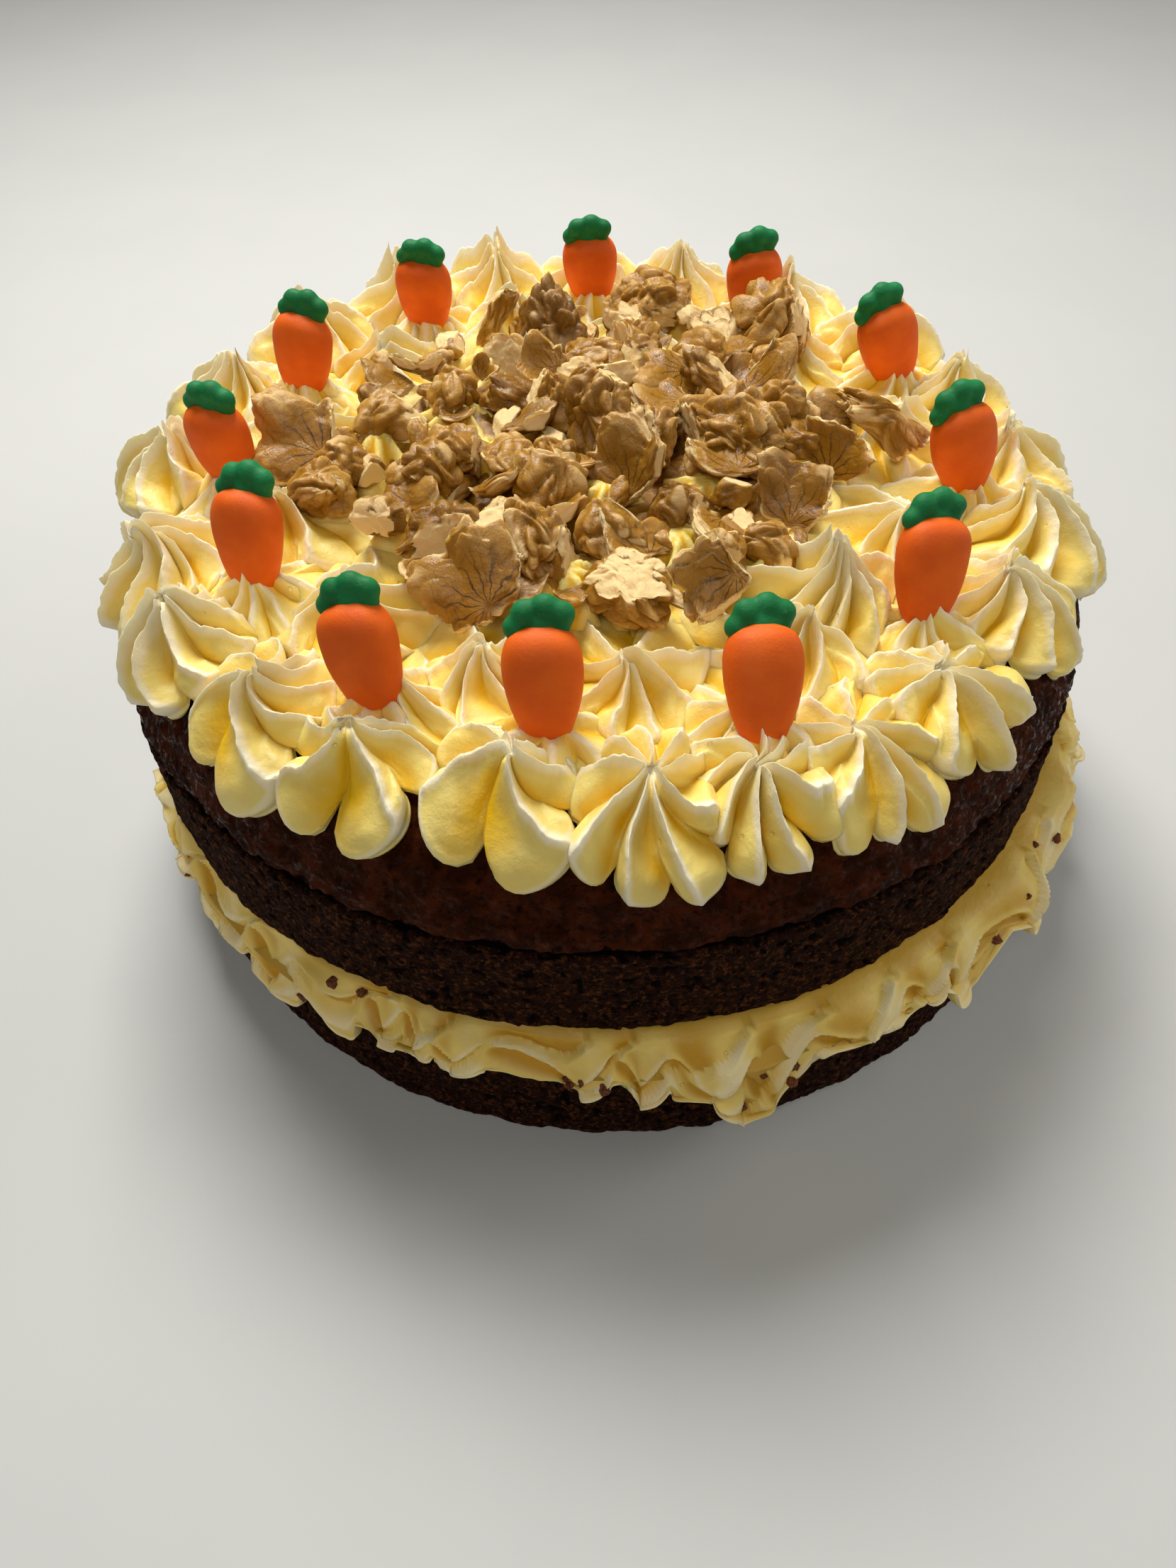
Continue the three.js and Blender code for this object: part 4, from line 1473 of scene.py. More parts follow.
@dataclass
class SugarCarrots:
    """Twelve moulded sugar carrots, each pressed upright into its own star."""

    length: float = 26.0
    width: float = 12.8
    depth: float = 9.0
    squareness: float = 2.4  # 2 is an ellipse, and more is squarer
    tip: float = 83.8
    front_rise: float = 0.8
    turn: float = math.radians(20)
    grain: float = 0.12  # how rough the mould left them
    # angle and distance from the middle, then the lean to the right and to the back, in degrees
    places: tuple = (
        (-118, 79, -10, 18), (-97, 77, -3, 22), (-72, 81, -3, 34), (-41, 73, 1, 22),
        (-5, 72, -16, 0), (29, 74, -20, -4), (62, 73, -4, -11), (93, 76, -3, -19),
        (125, 75, 2, -15), (156, 74, 9, 0), (-177, 75, -1, -8), (-149, 75, 3, 15),
    )
    # the body's outline: share of the length, then half the width there
    outline: tuple = ((0.0, 0.0), (0.05, 0.36), (0.13, 0.58), (0.27, 0.81), (0.42, 0.95), (0.56, 1.0),
                      (0.66, 0.97), (0.74, 0.84), (0.79, 0.62), (0.82, 0.3))
    body_top: float = 0.828
    crown_flatness: float = 0.9
    # the green top's lobes: right of the middle, share of the length, behind the middle, radius
    crown_lobes: tuple = ((-4.0, 0.80, 1.0, 2.2), (-2.3, 0.885, 1.1, 2.45), (0.9, 0.915, 1.2, 2.5),
                          (3.3, 0.875, 1.1, 2.35), (0.2, 0.80, 1.4, 3.0), (2.6, 0.80, 1.2, 2.3))

    def body(self) -> Skin:
        """Makes the orange body, upright with its point at the origin.

        Returns:
            Its surface.
        """
        rings, places = 40, 48
        shares, halves = np.array(self.outline).T
        steps = np.linspace(len(shares) - 1, 0.25, rings)
        ring = along(np.stack([halves, shares], -1), steps)
        angle = np.arange(places) * TAU / places
        squared = ((np.abs(np.cos(angle)) ** self.squareness + np.abs(np.sin(angle)) ** self.squareness)
                   ** (-1 / self.squareness))
        x = ring[:, 0, None] * self.width / 2 * squared * np.cos(angle)
        y = ring[:, 0, None] * self.depth / 2 * squared * np.sin(angle)
        z = np.repeat(ring[:, 1, None] * self.length, places, 1)
        start = np.array([0, 0, self.body_top * self.length])
        return closed_skin(np.stack([x, y, z], -1), start, np.zeros(3))

    def crown(self, material: bpy.types.Material) -> Skin:
        """The green top: soft lobes that run into each other, a little flattened from front to back.

        Args:
            material: what it is made of.

        Returns:
            Its surface, over the body's.
        """
        lobes = np.array(self.crown_lobes)
        points = np.stack([lobes[:, 0], lobes[:, 2], lobes[:, 1] * self.length], -1)
        melted = MeltedBalls(fineness=0.42).melt("carrot_crown", points, lobes[:, 3], material)
        co = np.empty(len(melted.vertices) * 3)
        melted.vertices.foreach_get("co", co)
        points = co.reshape(-1, 3) / MM
        middle = points.mean(axis=0)
        points[:, 1] = middle[1] + (points[:, 1] - middle[1]) * self.crown_flatness
        sizes = np.array([len(p.vertices) for p in melted.polygons])
        faces = [np.array([list(p.vertices) for p in melted.polygons if len(p.vertices) == n])
                 for n in np.unique(sizes)]
        bpy.data.meshes.remove(melted)
        return Skin(points, faces)

    def build(self, orange: bpy.types.Material, green: bpy.types.Material) -> None:
        """Makes the twelve carrots.

        Args:
            orange: the bodies' material.
            green: the tops' material.
        """
        body, crown = self.body(), self.crown(green)
        for part, index in ((body, 0), (crown, 1)):
            part.slots = np.full(sum(len(f) for f in part.faces), index)
        whole = body.joined(crown)
        for i, (degrees, distance, to_right, to_back) in enumerate(self.places):
            angle = math.radians(degrees)
            seat = Vector((distance * math.cos(angle), distance * math.sin(angle),
                           self.tip - self.front_rise * math.sin(angle)))
            stand = (Matrix.Translation(seat)
                     @ Matrix.Rotation(math.radians(to_right), 4, "Y")
                     @ Matrix.Rotation(math.radians(-to_back), 4, "X")
                     @ Matrix.Rotation(self.turn * math.cos(angle), 4, "Z"))
            turned = np.array(stand)
            own = whole.points.copy()
            own += self.grain * np.stack([NOISE.at(own + step * i, 5) for step in (31, 57, 83)], -1)
            points = own @ turned[:3, :3].T + turned[:3, 3]
            piece = Skin(points, whole.faces, {}, whole.slots).to_object(
                f"sugar_carrot_{i + 1:02d}", [orange, green])
            ride_and_replace(piece, "sugar_paste", f"carrot_{i + 1:02d}")


# -------------------- trees of Geometry Nodes


class ShapeTree:
    """A Geometry Nodes tree under construction, with named inputs for its sizes."""

    def __init__(self, name: str, inputs: dict[str, tuple[str, object]]) -> None:
        """Starts a tree that takes and gives a geometry.

        Args:
            name: the tree's name.
            inputs: each named input's socket type and value.
        """
        self.tree = bpy.data.node_groups.new(name, "GeometryNodeTree")
        face = self.tree.interface
        face.new_socket("Geometry", in_out="INPUT", socket_type="NodeSocketGeometry")
        face.new_socket("Geometry", in_out="OUTPUT", socket_type="NodeSocketGeometry")
        self.sockets = {key: face.new_socket(key, in_out="INPUT", socket_type=kind).identifier
                        for key, (kind, _) in inputs.items()}
        self.values = {key: value for key, (_, value) in inputs.items()}
        self.source = self.tree.nodes.new("NodeGroupInput")
        self.result = self.tree.nodes.new("NodeGroupOutput")

    def add(self, kind: str, settings: dict | None = None, **inputs: object) -> bpy.types.Node:
        """Adds a node to the tree, as add_node does."""
        return add_node(self.tree, kind, settings, **inputs)

    def bake(self, carrier: bpy.types.Object, last: bpy.types.NodeSocket) -> bpy.types.Mesh:
        """Runs the tree on an object and keeps the result as a plain mesh.

        Args:
            carrier: the object whose geometry the tree starts from.
            last: the output that the tree ends in, before its instances are realized.

        Returns:
            The mesh. The carrier is left without the tree.
        """
        real = self.add("GeometryNodeRealizeInstances", Geometry=last)
        dressed = self.add("GeometryNodeSetMaterial", Geometry=real.outputs[0],
                           Material=self.source.outputs["Material"])
        self.tree.links.new(dressed.outputs[0], self.result.inputs[0])
        modifier = carrier.modifiers.new("grow", "NODES")
        modifier.node_group = self.tree
        for key, identifier in self.sockets.items():
            modifier[identifier] = self.values[key]
        graph = bpy.context.evaluated_depsgraph_get()
        mesh = bpy.data.meshes.new_from_object(carrier.evaluated_get(graph))
        carrier.modifiers.remove(modifier)
        return mesh


@dataclass
class MeltedBalls:
    """Balls that run into each other, as the lobes of a moulded leaf do."""

    fineness: float

    def melt(self, name: str, points: np.ndarray, radii: np.ndarray,
             material: bpy.types.Material) -> bpy.types.Mesh:
        """Melts balls together.

        Args:
            name: the mesh's name.
            points: (n, 3) middles of the balls, in millimetres.
            radii: (n,) their radii.
            material: what the result is made of.

        Returns:
            One closed mesh.
        """
        seeds = Skin(points, [np.zeros((0, 3), int)], {"radius": radii * MM})
        carrier = seeds.to_object(name, [])
        tree = ShapeTree(name, {"Material": ("NodeSocketMaterial", material),
                                "Fineness": ("NodeSocketFloat", self.fineness * MM)})
        radius = tree.add("GeometryNodeInputNamedAttribute", {"data_type": "FLOAT"}, Name="radius")
        ball = tree.add("GeometryNodeMeshIcoSphere", Radius=1.0, Subdivisions=4)
        lobes = tree.add("GeometryNodeInstanceOnPoints", Points=tree.source.outputs["Geometry"],
                         Instance=ball.outputs[0], Scale=radius.outputs[0])
        solid = tree.add("GeometryNodeRealizeInstances", Geometry=lobes.outputs[0])
        cloud = tree.add("GeometryNodeMeshToVolume", {"resolution_mode": "VOXEL_SIZE"},
                         Mesh=solid.outputs[0], Voxel_Size=tree.source.outputs["Fineness"])
        skin = tree.add("GeometryNodeVolumeToMesh", {"resolution_mode": "VOXEL_SIZE"},
                        Volume=cloud.outputs[0], Voxel_Size=tree.source.outputs["Fineness"])
        place = tree.add("GeometryNodeInputPosition")
        even = tree.add("GeometryNodeBlurAttribute", {"data_type": "FLOAT_VECTOR"},
                        Value=place.outputs[0], Iterations=3)
        smooth = tree.add("GeometryNodeSetPosition", Geometry=skin.outputs[0], Position=even.outputs[0])
        mesh = tree.bake(carrier, smooth.outputs[0])
        bpy.data.objects.remove(carrier)
        return mesh


# -------------------- the walnuts


@dataclass(frozen=True)
class BreakForm:
    """The shape that a kind of break leaves, in shares of half the piece's length."""

    thick: float = 0.72
    wide: float | None = None  # None where it differs from piece to piece
    crumple: float = 0.24
    fold_depth: float = 0.42
    cup: float = 0.0  # how far a thin piece is bent up round its hub, like a shell
    kept: tuple[float, float] = (0.58, 0.85)  # range of what a broken face leaves of the piece
    face_up: bool = False  # whether its broken faces lie on top

    @property
    def thin(self) -> bool:
        """Whether it is a flake."""
        return self.thick < 0.5


class Break(Enum):
    """How a walnut piece came off its kernel."""

    LOBED = BreakForm()
    FAN = BreakForm(thick=0.3, crumple=0.1, fold_depth=0.12, cup=0.55)
    CURLED = BreakForm(thick=0.3, wide=0.7, fold_depth=0.24, cup=1.1)
    SPLINTER = BreakForm(thick=0.36, wide=0.42, fold_depth=0.16)
    PALE = BreakForm(crumple=0.14, kept=(0.45, 0.6), face_up=True)


@dataclass
class Walnut:
    """One piece: its place, half its length, how steeply it stands and how it is turned."""

    x: float
    y: float
    half: float
    steep: float  # in degrees
    kind: Break = Break.LOBED
    spin: float = 0.0  # in degrees
    toasted: float = 0.0  # how dark it is, from 0 to 1
    sunk: float = 0.0


@dataclass
class WalnutHeap:
    """The heap of chopped walnuts in the middle."""

    middle: tuple[float, float] = (-4.0, 2.0)
    reach: float = 50.0
    level: float = 94.4
    core_level: float = 90.2
    places: int = 78
    spacing: float = 7.2
    half: float = 6.0
    filled: float = 0.5  # up to which draw a place has a piece
    chips: int = 70
    pieces_a_mesh: int = 16
    # rings and places of a piece whose half length is over the first number
    fineness: tuple = ((7.4, 50, 92), (5.0, 38, 68), (0.0, 24, 42))
    hub: tuple[float, float] = (0.15, -0.62)  # where a fan's ribs start
    usual_kinds: tuple = (Break.LOBED, Break.LOBED, Break.CURLED, Break.LOBED, Break.FAN, Break.PALE)
    chip_kinds: tuple = (Break.LOBED, Break.PALE, Break.SPLINTER, Break.PALE, Break.CURLED)
    shown: tuple = (
        Walnut(-61, -2, 9, 35, Break.FAN, 60),
        Walnut(-55, -16, 6, 10, Break.LOBED, 0),
        Walnut(-24, -47, 9.5, 45, Break.FAN, 40),
        Walnut(-12, -38, 7.5, 55, Break.LOBED, 90, 0.3),
        Walnut(3, -46, 7.5, 15, Break.PALE, 0),
        Walnut(17, -47, 7.5, 60, Break.CURLED, 70, 0.2),
        Walnut(35, -22, 7.5, 30, Break.FAN, -30, 0.5),
        Walnut(43, -7, 7.5, 55, Break.FAN, -10, 0.1),
        Walnut(55, 3, 10, 40, Break.SPLINTER, -40),
        Walnut(24, -2, 10.5, 5, Break.LOBED, 0),
        Walnut(4, -15, 8, 50, Break.FAN, 10, 0.4),
        Walnut(-2, 1, 7.5, 50, Break.LOBED, 60, 0.4),
        Walnut(-12, 39, 8, 60, Break.LOBED, 100, 0.7),
        Walnut(-25, 49, 7, 70, Break.SPLINTER, 80),
        Walnut(9, 55, 8.5, 15, Break.LOBED, 0),
        Walnut(36, 43, 8.5, 60, Break.LOBED, 110),
    )

    def usual(self) -> list[Walnut]:
        """Lays the pieces between the shown ones, round and round outwards.

        Returns:
            The pieces.
        """
        pieces = []
        for i in range(self.places):
            ring = self.reach * math.sqrt((i + 0.6) / self.places)
            angle = i * GOLDEN_ANGLE + 0.2 * wander(i, Draw.NUT_ANGLE)
            x = self.middle[0] + ring * math.cos(angle)
            y = self.middle[1] + ring * math.sin(angle)
            free = all(math.hypot(x - s.x, y - s.y) > self.spacing for s in self.shown)
            if free and wander(i, Draw.NUT_THERE) < self.filled:
                kind = self.usual_kinds[i % len(self.usual_kinds)]
                pieces.append(Walnut(x, y, half=self.half * (1 + 0.18 * wander(i, Draw.NUT_HALF)),
                                     steep=30 * wander(i, Draw.NUT_STEEP), kind=kind,
                                     spin=180 * wander(i, Draw.NUT_SPIN),
                                     toasted=max(0, 0.6 * wander(i, Draw.NUT_TOASTED))))
        return pieces

    def bits(self) -> list[Walnut]:
        """Lays the small chips that fill the spaces.

        Returns:
            The chips.
        """
        pieces = []
        for i in range(self.chips):
            ring = (self.reach + 3) * math.sqrt((i + 0.5) / self.chips)
            angle = i * GOLDEN_ANGLE + 1.3
            kind = self.chip_kinds[i % len(self.chip_kinds)]
            pieces.append(Walnut(self.middle[0] + ring * math.cos(angle),
                                 self.middle[1] + ring * math.sin(angle),
                                 half=3.6 + wander(i, Draw.CHIP_HALF),
                                 steep=50 * wander(i, Draw.CHIP_STEEP), kind=kind,
                                 spin=180 * wander(i, Draw.CHIP_SPIN),
                                 toasted=max(0, 0.8 * wander(i, Draw.CHIP_TOASTED)),
                                 sunk=-1.2 + wander(i, Draw.CHIP_SUNK)))
        return pieces

    def folded(self, every: np.ndarray, own: np.ndarray, nut: Walnut, i: int
               ) -> tuple[np.ndarray, np.ndarray]:
        """Crumples a ball into a kernel with folds and torn outlines.

        Args:
            every: (n, 3) points of a ball of radius 1.
            own: where the piece's own unevenness is read.
            nut: the piece.
            i: which one it is.

        Returns:
            Its points, and for each how high it is on a fold, from 0 to 1.
        """
        form = nut.kind.value
        wide = form.wide or 0.85 + 0.12 * wander(i, Draw.NUT_WIDTH)
        shape = every * np.array([1.0, wide, form.thick])
        crumpled = shape * nut.half + 37.0 * i
        for size, share in ((9.0, 1.0), (4.6, 0.45)):
            push = [NOISE.at(crumpled + offset, size) for offset in (5.0, 19.0, 43.0)]
            shape = shape + form.crumple * share * np.stack(push, -1)
        warp = 1.4 * np.stack([NOISE.at(own + offset, 5) for offset in (5, 9, 13)], -1)
        big, small = (np.minimum(np.abs(NOISE.at(own + warp, size)) * 2.6, 1) for size in (5.4, 2.7))
        fold = 0.68 * big**0.7 + 0.32 * small**0.7
        shape = shape * (1 - form.fold_depth * 0.6 + form.fold_depth * fold[:, None])
        outline = every * np.array([1, 1, 0.15]) * nut.half + 61.0 * i
        torn = 0.2 * NOISE.at(outline, 4.2) + 0.12 * NOISE.at(outline, 1.7)
        shape[:, :2] *= 1 + (torn * (1.0 if form.thin else 0.35))[:, None]
        shape[:, 2] += 0.3 * wander(i, Draw.NUT_BEND) * shape[:, 0] ** 2
        return shape, fold

    def fanned(self, shape: np.ndarray, fold: np.ndarray, cup: float, i: int
               ) -> tuple[np.ndarray, np.ndarray, np.ndarray]:
        """Spreads a flake's lobes out from its hub and cups it.

        Args:
            shape: its points, which are moved.
            fold: how high each is on a fold.
            cup: how far it is bent up.
            i: which piece it is.

        Returns:
            Its points, their folds, and how close each is to the hub.
        """
        from_hub = shape[:, :2] - self.hub
        around = np.arctan2(from_hub[:, 0], from_hub[:, 1])
        far = np.hypot(from_hub[:, 0], from_hub[:, 1])
        lobes = np.abs(np.cos(2.6 * around + i)) ** 0.8
        reach = ease(0.5, 1.3, far)
        shape[:, :2] = self.hub + from_hub * (1 + 0.26 * (lobes - 0.6) * reach)[:, None]
        shape[:, 2] *= 0.7 + 0.6 * lobes * reach
        shape[:, 2] += 0.3 * far**2 * cup - 0.12
        shape[:, 2] += 0.09 * np.cos(5.2 * around + 2 * i) * reach
        # raised lobes far from the hub get a higher fold value, painted paler as a highlight; the rest
        # stays darker, as painted shade
        fold = np.clip(0.2 + 0.6 * lobes * reach + 0.25 * fold, 0, 1)
        return shape, fold, 1 - ease(0.3, 1.2, far)

    def broken(self, shape: np.ndarray, own: np.ndarray, form: BreakForm, i: int
               ) -> tuple[np.ndarray, np.ndarray]:
        """Breaks three ragged faces off a piece.

        Args:
            shape: its points.
            own: where the piece's own unevenness is read.
            form: the shape that its kind of break leaves.
            i: which piece it is.

        Returns:
            Its points, and for each 1 where it is on a broken face.
        """
        cut = np.zeros(len(shape))
        draw = np.random.default_rng(500 + i)
        for _ in range(3):
            facing = draw.normal(size=3)
            facing[2] = abs(facing[2]) if form.face_up else 0.4 * facing[2]
            facing /= np.linalg.norm(facing)
            spread = shape @ facing
            over = spread - draw.uniform(*form.kept) * spread.max()
            ragged = 0.06 * NOISE.at(own, 2.2) + 0.03 * NOISE.at(own, 0.9)
            shape = shape - np.maximum(over + ragged, 0)[:, None] * facing
            cut = np.maximum(cut, ease(0.0, 0.05, over + ragged))
        return shape, cut

    def stand(self, nut: Walnut, i: int) -> np.ndarray:
        """Turns a piece and places it on the heap.

        Args:
            nut: the piece.
            i: which one it is.

        Returns:
            The turn and the place, as a 4 by 4 matrix.
        """
        off_middle = math.hypot(nut.x - self.middle[0], nut.y - self.middle[1]) / self.reach
        stands = 0.35 * nut.half * math.sin(math.radians(abs(nut.steep)))
        height = self.level + mix(2.0, -1.6, off_middle) + stands
        height += 0.6 * wander(i, Draw.NUT_HEIGHT) + nut.sunk
        return np.array(
            Matrix.Translation((nut.x, nut.y, height + 0.6))
            @ Matrix.Rotation(0.8 * wander(i, Draw.NUT_YAW), 4, "Z")
            @ Matrix.Rotation(0.4 * wander(i, Draw.NUT_TILT), 4, "Y")
            @ Matrix.Rotation(math.radians(nut.steep), 4, "X")
            @ Matrix.Rotation(math.radians(nut.spin), 4, "Z"))

    def piece(self, nut: Walnut, i: int) -> Skin:
        """Makes one piece of walnut.

        Args:
            nut: its place and kind.
            i: which one it is, for its own folds.

        Returns:
            The piece's surface, in its place.
        """
        form = nut.kind.value
        rings, places = next(grid for over, *grid in self.fineness if nut.half > over)
        lat = np.linspace(0, math.pi, rings + 2)[1:-1, None]
        lon = np.arange(places) * TAU / places
        ball = np.stack([np.sin(lat) * np.cos(lon), np.sin(lat) * np.sin(lon),
                         np.repeat(np.cos(lat), places, 1)], -1)
        poles = np.array([[0, 0, 1.0], [0, 0, -1.0]])
        every = np.concatenate([ball.reshape(-1, 3), poles])
        own = every * nut.half + 37.0 * i
        shape, fold = self.folded(every, own, nut, i)
        fan = np.zeros(len(shape))
        if form.cup:
            shape, fold, fan = self.fanned(shape, fold, form.cup, i)
            fan = fan * ease(0.0, 0.1, every[:, 2])
        shape, cut = self.broken(shape, own, form, i)
        thin_edge = ease(0.9, 1.0, np.hypot(every[:, 0], every[:, 1])) * form.thin
        cut = np.maximum(cut, 0.85 * thin_edge * ease(-0.3, 0.3, NOISE.at(own, 3)))
        # pale flesh on the highest fold tops: partly rubbed-off skin, partly a painted highlight
        rubbed_and_highlit = ease(0.8, 0.95, fold) * ease(0.0, 0.3, NOISE.at(own, 4))
        cut = np.maximum(cut, 0.45 * rubbed_and_highlit)
        local = np.concatenate([shape[:, :2] - self.hub, every[:, 2:]], axis=1)
        turned = self.stand(nut, i)
        points = (shape * nut.half * 1.08) @ turned[:3, :3].T + turned[:3, 3]
        grid = slice(0, rings * places)
        toasted = np.full(len(shape), nut.toasted)
        return closed_skin(
            points[grid].reshape(rings, places, 3), points[-2], points[-1],
            **{key: value[grid].reshape(rings, places, *value.shape[1:]) for key, value in
               {"fold": fold, "cut": cut, "fan": fan, "local": local, "toasted": toasted}.items()})

    def core(self) -> Skin:
        """Makes the fine bits at the bottom of the heap, from which the icing's ridges stick out.

        Returns:
            Their surface.
        """
        rings, places = 44, 110
        angle = np.arange(places) * TAU / places
        share = np.linspace(0, 1, rings + 1)[1:, None]
        x = self.middle[0] + 0.86 * self.reach * share * np.cos(angle)
        y = self.middle[1] + 0.86 * self.reach * share * np.sin(angle)
        flat = np.stack([x, y, np.zeros_like(x)], -1)
        bits = np.abs(NOISE.at(flat, 3.4)) + 0.5 * np.abs(NOISE.at(flat, 1.9))
        top = self.core_level + 1.2 * NOISE.at(flat, 9) + 2.2 * bits - 4.0 * ease(0.9, 1.0, share)
        # low places between the bits take the folds' painted shade
        values = {"fold": np.clip(1.3 * bits, 0, 1), "cut": 0.5 * ease(0.5, 0.8, bits), "fan": 0 * x,
                  "local": flat, "toasted": np.full_like(x, 0.3)}
        middle = np.array([self.middle[0], self.middle[1], 0])
        return closed_skin(np.stack([x, y, top], -1), middle + [0, 0, self.core_level],
                           middle + [0, 0, self.core_level - 5], **values)

    def build(self, material: bpy.types.Material) -> None:
        """Makes the heap, a few pieces to a mesh.

        Args:
            material: what the pieces are made of.
        """
        ride_and_replace(self.core().to_object("walnut_core", [material]), "walnut", "walnuts")
        skins = [self.piece(nut, i) for i, nut in enumerate([*self.shown, *self.usual(), *self.bits()])]
        for first in range(0, len(skins), self.pieces_a_mesh):
            group = skins[first:first + self.pieces_a_mesh]
            whole = group[0]
            for skin in group[1:]:
                whole = whole.joined(skin)
            name = f"walnut_pieces_{first // self.pieces_a_mesh + 1}"
            ride_and_replace(whole.to_object(name, [material]), "walnut", "walnuts")


# -------------------- crumbs


@dataclass
class Crumbs:
    """Loose bits that Geometry Nodes scatter over a surface."""

    name: str
    count_a_square_cm: float
    small: float
    large: float
    seed: int

    def build(self, ground: bpy.types.Object, slot: str, material: bpy.types.Material) -> None:
        """Scatters the crumbs over the part of the ground that is marked as shown.

        Args:
            ground: the piece that they lie on.
            slot: a material slot's name, which is passed on with the piece.
            material: what they are made of.
        """
        tree = ShapeTree(self.name, {
            "Material": ("NodeSocketMaterial", material),
            "Density": ("NodeSocketFloat", self.count_a_square_cm * 1e4),
            "Small": ("NodeSocketFloat", self.small * MM),
            "Large": ("NodeSocketFloat", self.large * MM),
            "Seed": ("NodeSocketInt", self.seed),
        })
        given = tree.source.outputs
        shown = tree.add("GeometryNodeInputNamedAttribute", {"data_type": "FLOAT"}, Name="shown")
        dust = tree.add("GeometryNodeDistributePointsOnFaces", Mesh=given["Geometry"],
                        Density=given["Density"], Seed=given["Seed"],
                        Selection=tree.add("FunctionNodeCompare", {"data_type": "FLOAT"},
                                           i0=shown.outputs[0], i1=0.5).outputs[0])
        grain = tree.add("GeometryNodeMeshIcoSphere", Radius=0.5, Subdivisions=2)
        size = tree.add("FunctionNodeRandomValue", {"data_type": "FLOAT"}, i2=given["Small"],
                        i3=given["Large"], Seed=given["Seed"])
        spin = tree.add("FunctionNodeRandomValue", {"data_type": "FLOAT_VECTOR"},
                        i1=(TAU, TAU, TAU), Seed=given["Seed"])
        grains = tree.add("GeometryNodeInstanceOnPoints", Points=dust.outputs["Points"],
                          Instance=grain.outputs[0], Rotation=spin.outputs[0], Scale=size.outputs[1])
        real = tree.add("GeometryNodeRealizeInstances", Geometry=grains.outputs[0])
        rough = tree.add("ShaderNodeTexNoise", {"noise_dimensions": "3D"}, Scale=1 / (0.8 * MM))
        centred = tree.add("ShaderNodeVectorMath", {"operation": "SUBTRACT"},
                           i0=rough.outputs["Color"], i1=(0.5, 0.5, 0.5))
        shift = tree.add("ShaderNodeVectorMath", {"operation": "SCALE"}, i0=centred.outputs[0],
                         Scale=self.large * 0.9 * MM)
        ragged = tree.add("GeometryNodeSetPosition", Geometry=real.outputs[0], Offset=shift.outputs[0])
        mesh = tree.bake(ground, ragged.outputs[0])
        piece = bpy.data.objects.new(self.name, mesh)
        bpy.context.collection.objects.link(piece)
        ride_and_replace(piece, slot)


# -------------------- floor, light and camera


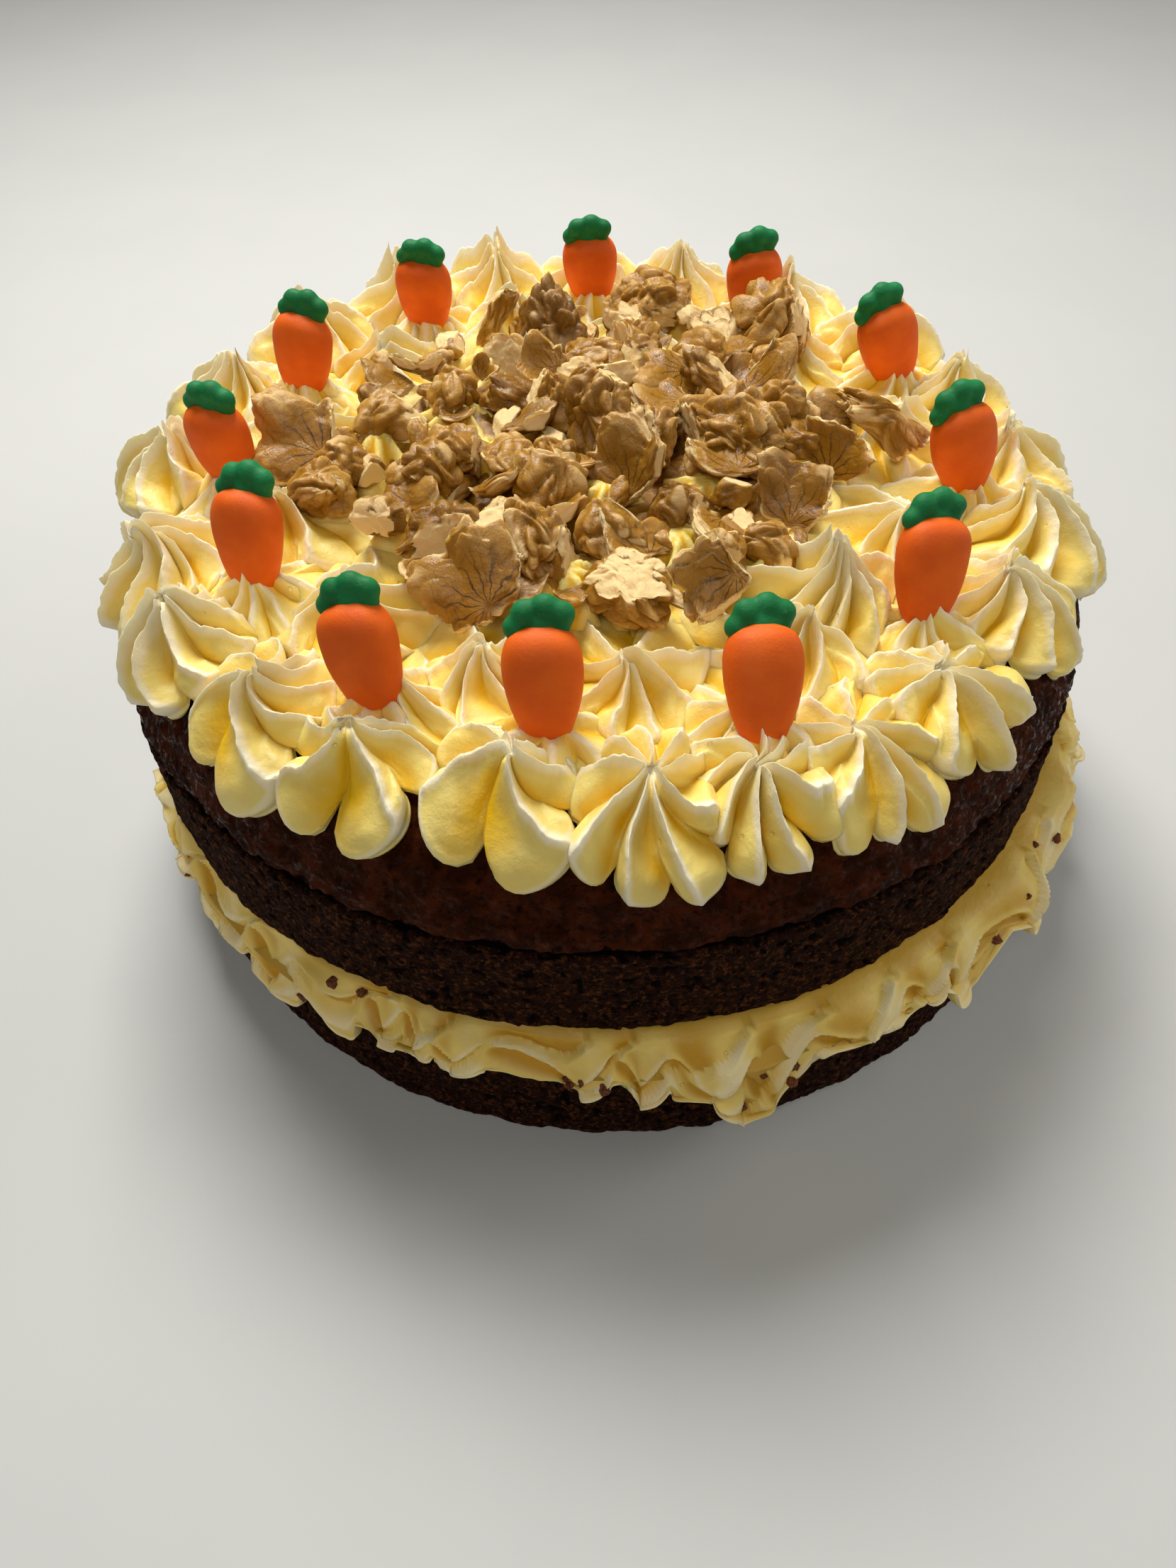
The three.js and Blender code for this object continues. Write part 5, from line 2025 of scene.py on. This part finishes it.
@dataclass
class Studio:
    """The pale table, the soft lamps and the camera."""

    eye: tuple[float, float, float] = (0.0, -204.42, 222.11)
    yaw: float = -0.02429
    pitch: float = 0.84760
    roll: float = -0.0126
    lens: float = 26.852
    floor_size: float = 8.0
    lamp_shade: str = "FFFFFC"
    room_shade: str = "F0E8DC"
    room_strength: float = 0.13
    # each lamp's name, its place and the length of its side in metres, and its power in watts
    lamps: tuple = (
        ("ceiling_softbox", (-0.13, 0.34, 0.72), 0.34, 7.8),
        ("window_softbox", (0.9, 0.1, 0.6), 0.6, 2.8),
        ("front_lamp", (-0.12, -0.6, 0.75), 0.25, 1.65),
    )
    lit: tuple[float, float, float] = (0.0, 0.0, 0.06)  # what the lamps face, in metres

    def build(self, material: bpy.types.Material) -> None:
        """Makes the table, the lamps, the surrounding light and the camera.

        Args:
            material: the table's material.
        """
        half, cells = self.floor_size / 2 / MM, 8
        across = cells + 1
        steps = np.linspace(-half, half, across)
        x, y = np.meshgrid(steps, steps)
        here = (np.arange(cells)[:, None] * across + np.arange(cells)).ravel()
        floor = Skin(np.stack([x.ravel(), y.ravel(), np.full(x.size, -0.05)], -1),
                     [np.stack([here, here + 1, here + across + 1, here + across], -1)])
        floor.to_object("table_top", [material])
        for name, place, size, watts in self.lamps:
            self.lamp(name, place, size, watts)
        world = bpy.data.worlds.new("soft_room")
        world.use_nodes = True
        sky = world.node_tree.nodes["Background"]
        sky.inputs["Color"].default_value = colour(self.room_shade)
        sky.inputs["Strength"].default_value = self.room_strength
        bpy.context.scene.world = world
        bpy.context.scene.view_settings.view_transform = "Standard"
        self.camera()

    def lamp(self, name: str, place: tuple, size: float, watts: float) -> None:
        """Hangs one square soft lamp that faces the cake.

        Args:
            name: the lamp's name.
            place: where it hangs, in metres.
            size: the length of its side, in metres.
            watts: its power.
        """
        light = bpy.data.lights.new(name, "AREA")
        light.size = size
        light.energy = watts
        light.color = colour(self.lamp_shade)[:3]
        lamp = bpy.data.objects.new(name, light)
        lamp.location = place
        lamp.rotation_euler = (Vector(self.lit) - Vector(place)).to_track_quat("-Z", "Y").to_euler()
        bpy.context.collection.objects.link(lamp)

    def camera(self) -> None:
        """Places the camera that looks down on the cake's front."""
        forward = Vector((math.sin(self.yaw) * math.cos(self.pitch),
                          math.cos(self.yaw) * math.cos(self.pitch), -math.sin(self.pitch)))
        level = Vector((math.cos(self.yaw), -math.sin(self.yaw), 0))
        upright = level.cross(forward)
        right = math.cos(self.roll) * level + math.sin(self.roll) * upright
        up = math.cos(self.roll) * upright - math.sin(self.roll) * level
        data = bpy.data.cameras.new("main_view")
        data.sensor_fit = "AUTO"
        data.sensor_width = 36.0
        data.lens = self.lens
        data.clip_start = 0.01
        camera = bpy.data.objects.new("main_view", data)
        turned = Matrix((right, up, -forward)).transposed().to_4x4()
        camera.matrix_world = Matrix.Translation(Vector(self.eye) * MM) @ turned
        bpy.context.collection.objects.link(camera)
        bpy.context.scene.camera = camera


def main() -> None:
    """Builds the cake from the table up."""
    logging.basicConfig(level=logging.INFO, format="%(name)s %(message)s")
    crumb, sticky = OpenCrumb().make(), StickyCrust().make()
    icing = Buttercream().make()
    # the filling's darker groove colour is painted shade in its folds, and its crest a painted highlight
    cream = Buttercream(name="squeezed_buttercream", groove="CC981A", petal="F1D474",
                        crest="FAE8B4", depth=0.8).make()
    crust = Crust()
    carrots = SugarCarrots()
    LowerSponge().build(crumb)
    filling = CreamFilling().build(cream)
    crumbs = Crumbs("filling_crumbs", count_a_square_cm=0.5, small=1.0, large=2.4, seed=5)
    crumbs.build(filling, "sponge", BakedCrumb().make())
    UpperSponge(crust).build(crumb, sticky)
    PipedIcing(crust, carrots.places).build(icing)
    carrots.build(
        SugarPaste("orange_sugar_paste", shade="DE5A06", edge="EC6A08").make(),
        SugarPaste("green_sugar_paste", shade="046B34", edge="0B8148", radius=(0.3, 1.0, 0.5)).make(),
    )
    WalnutHeap().build(WalnutKernel().make())
    Studio().build(PaintedTable().make())


if __name__ == "__main__":
    main()
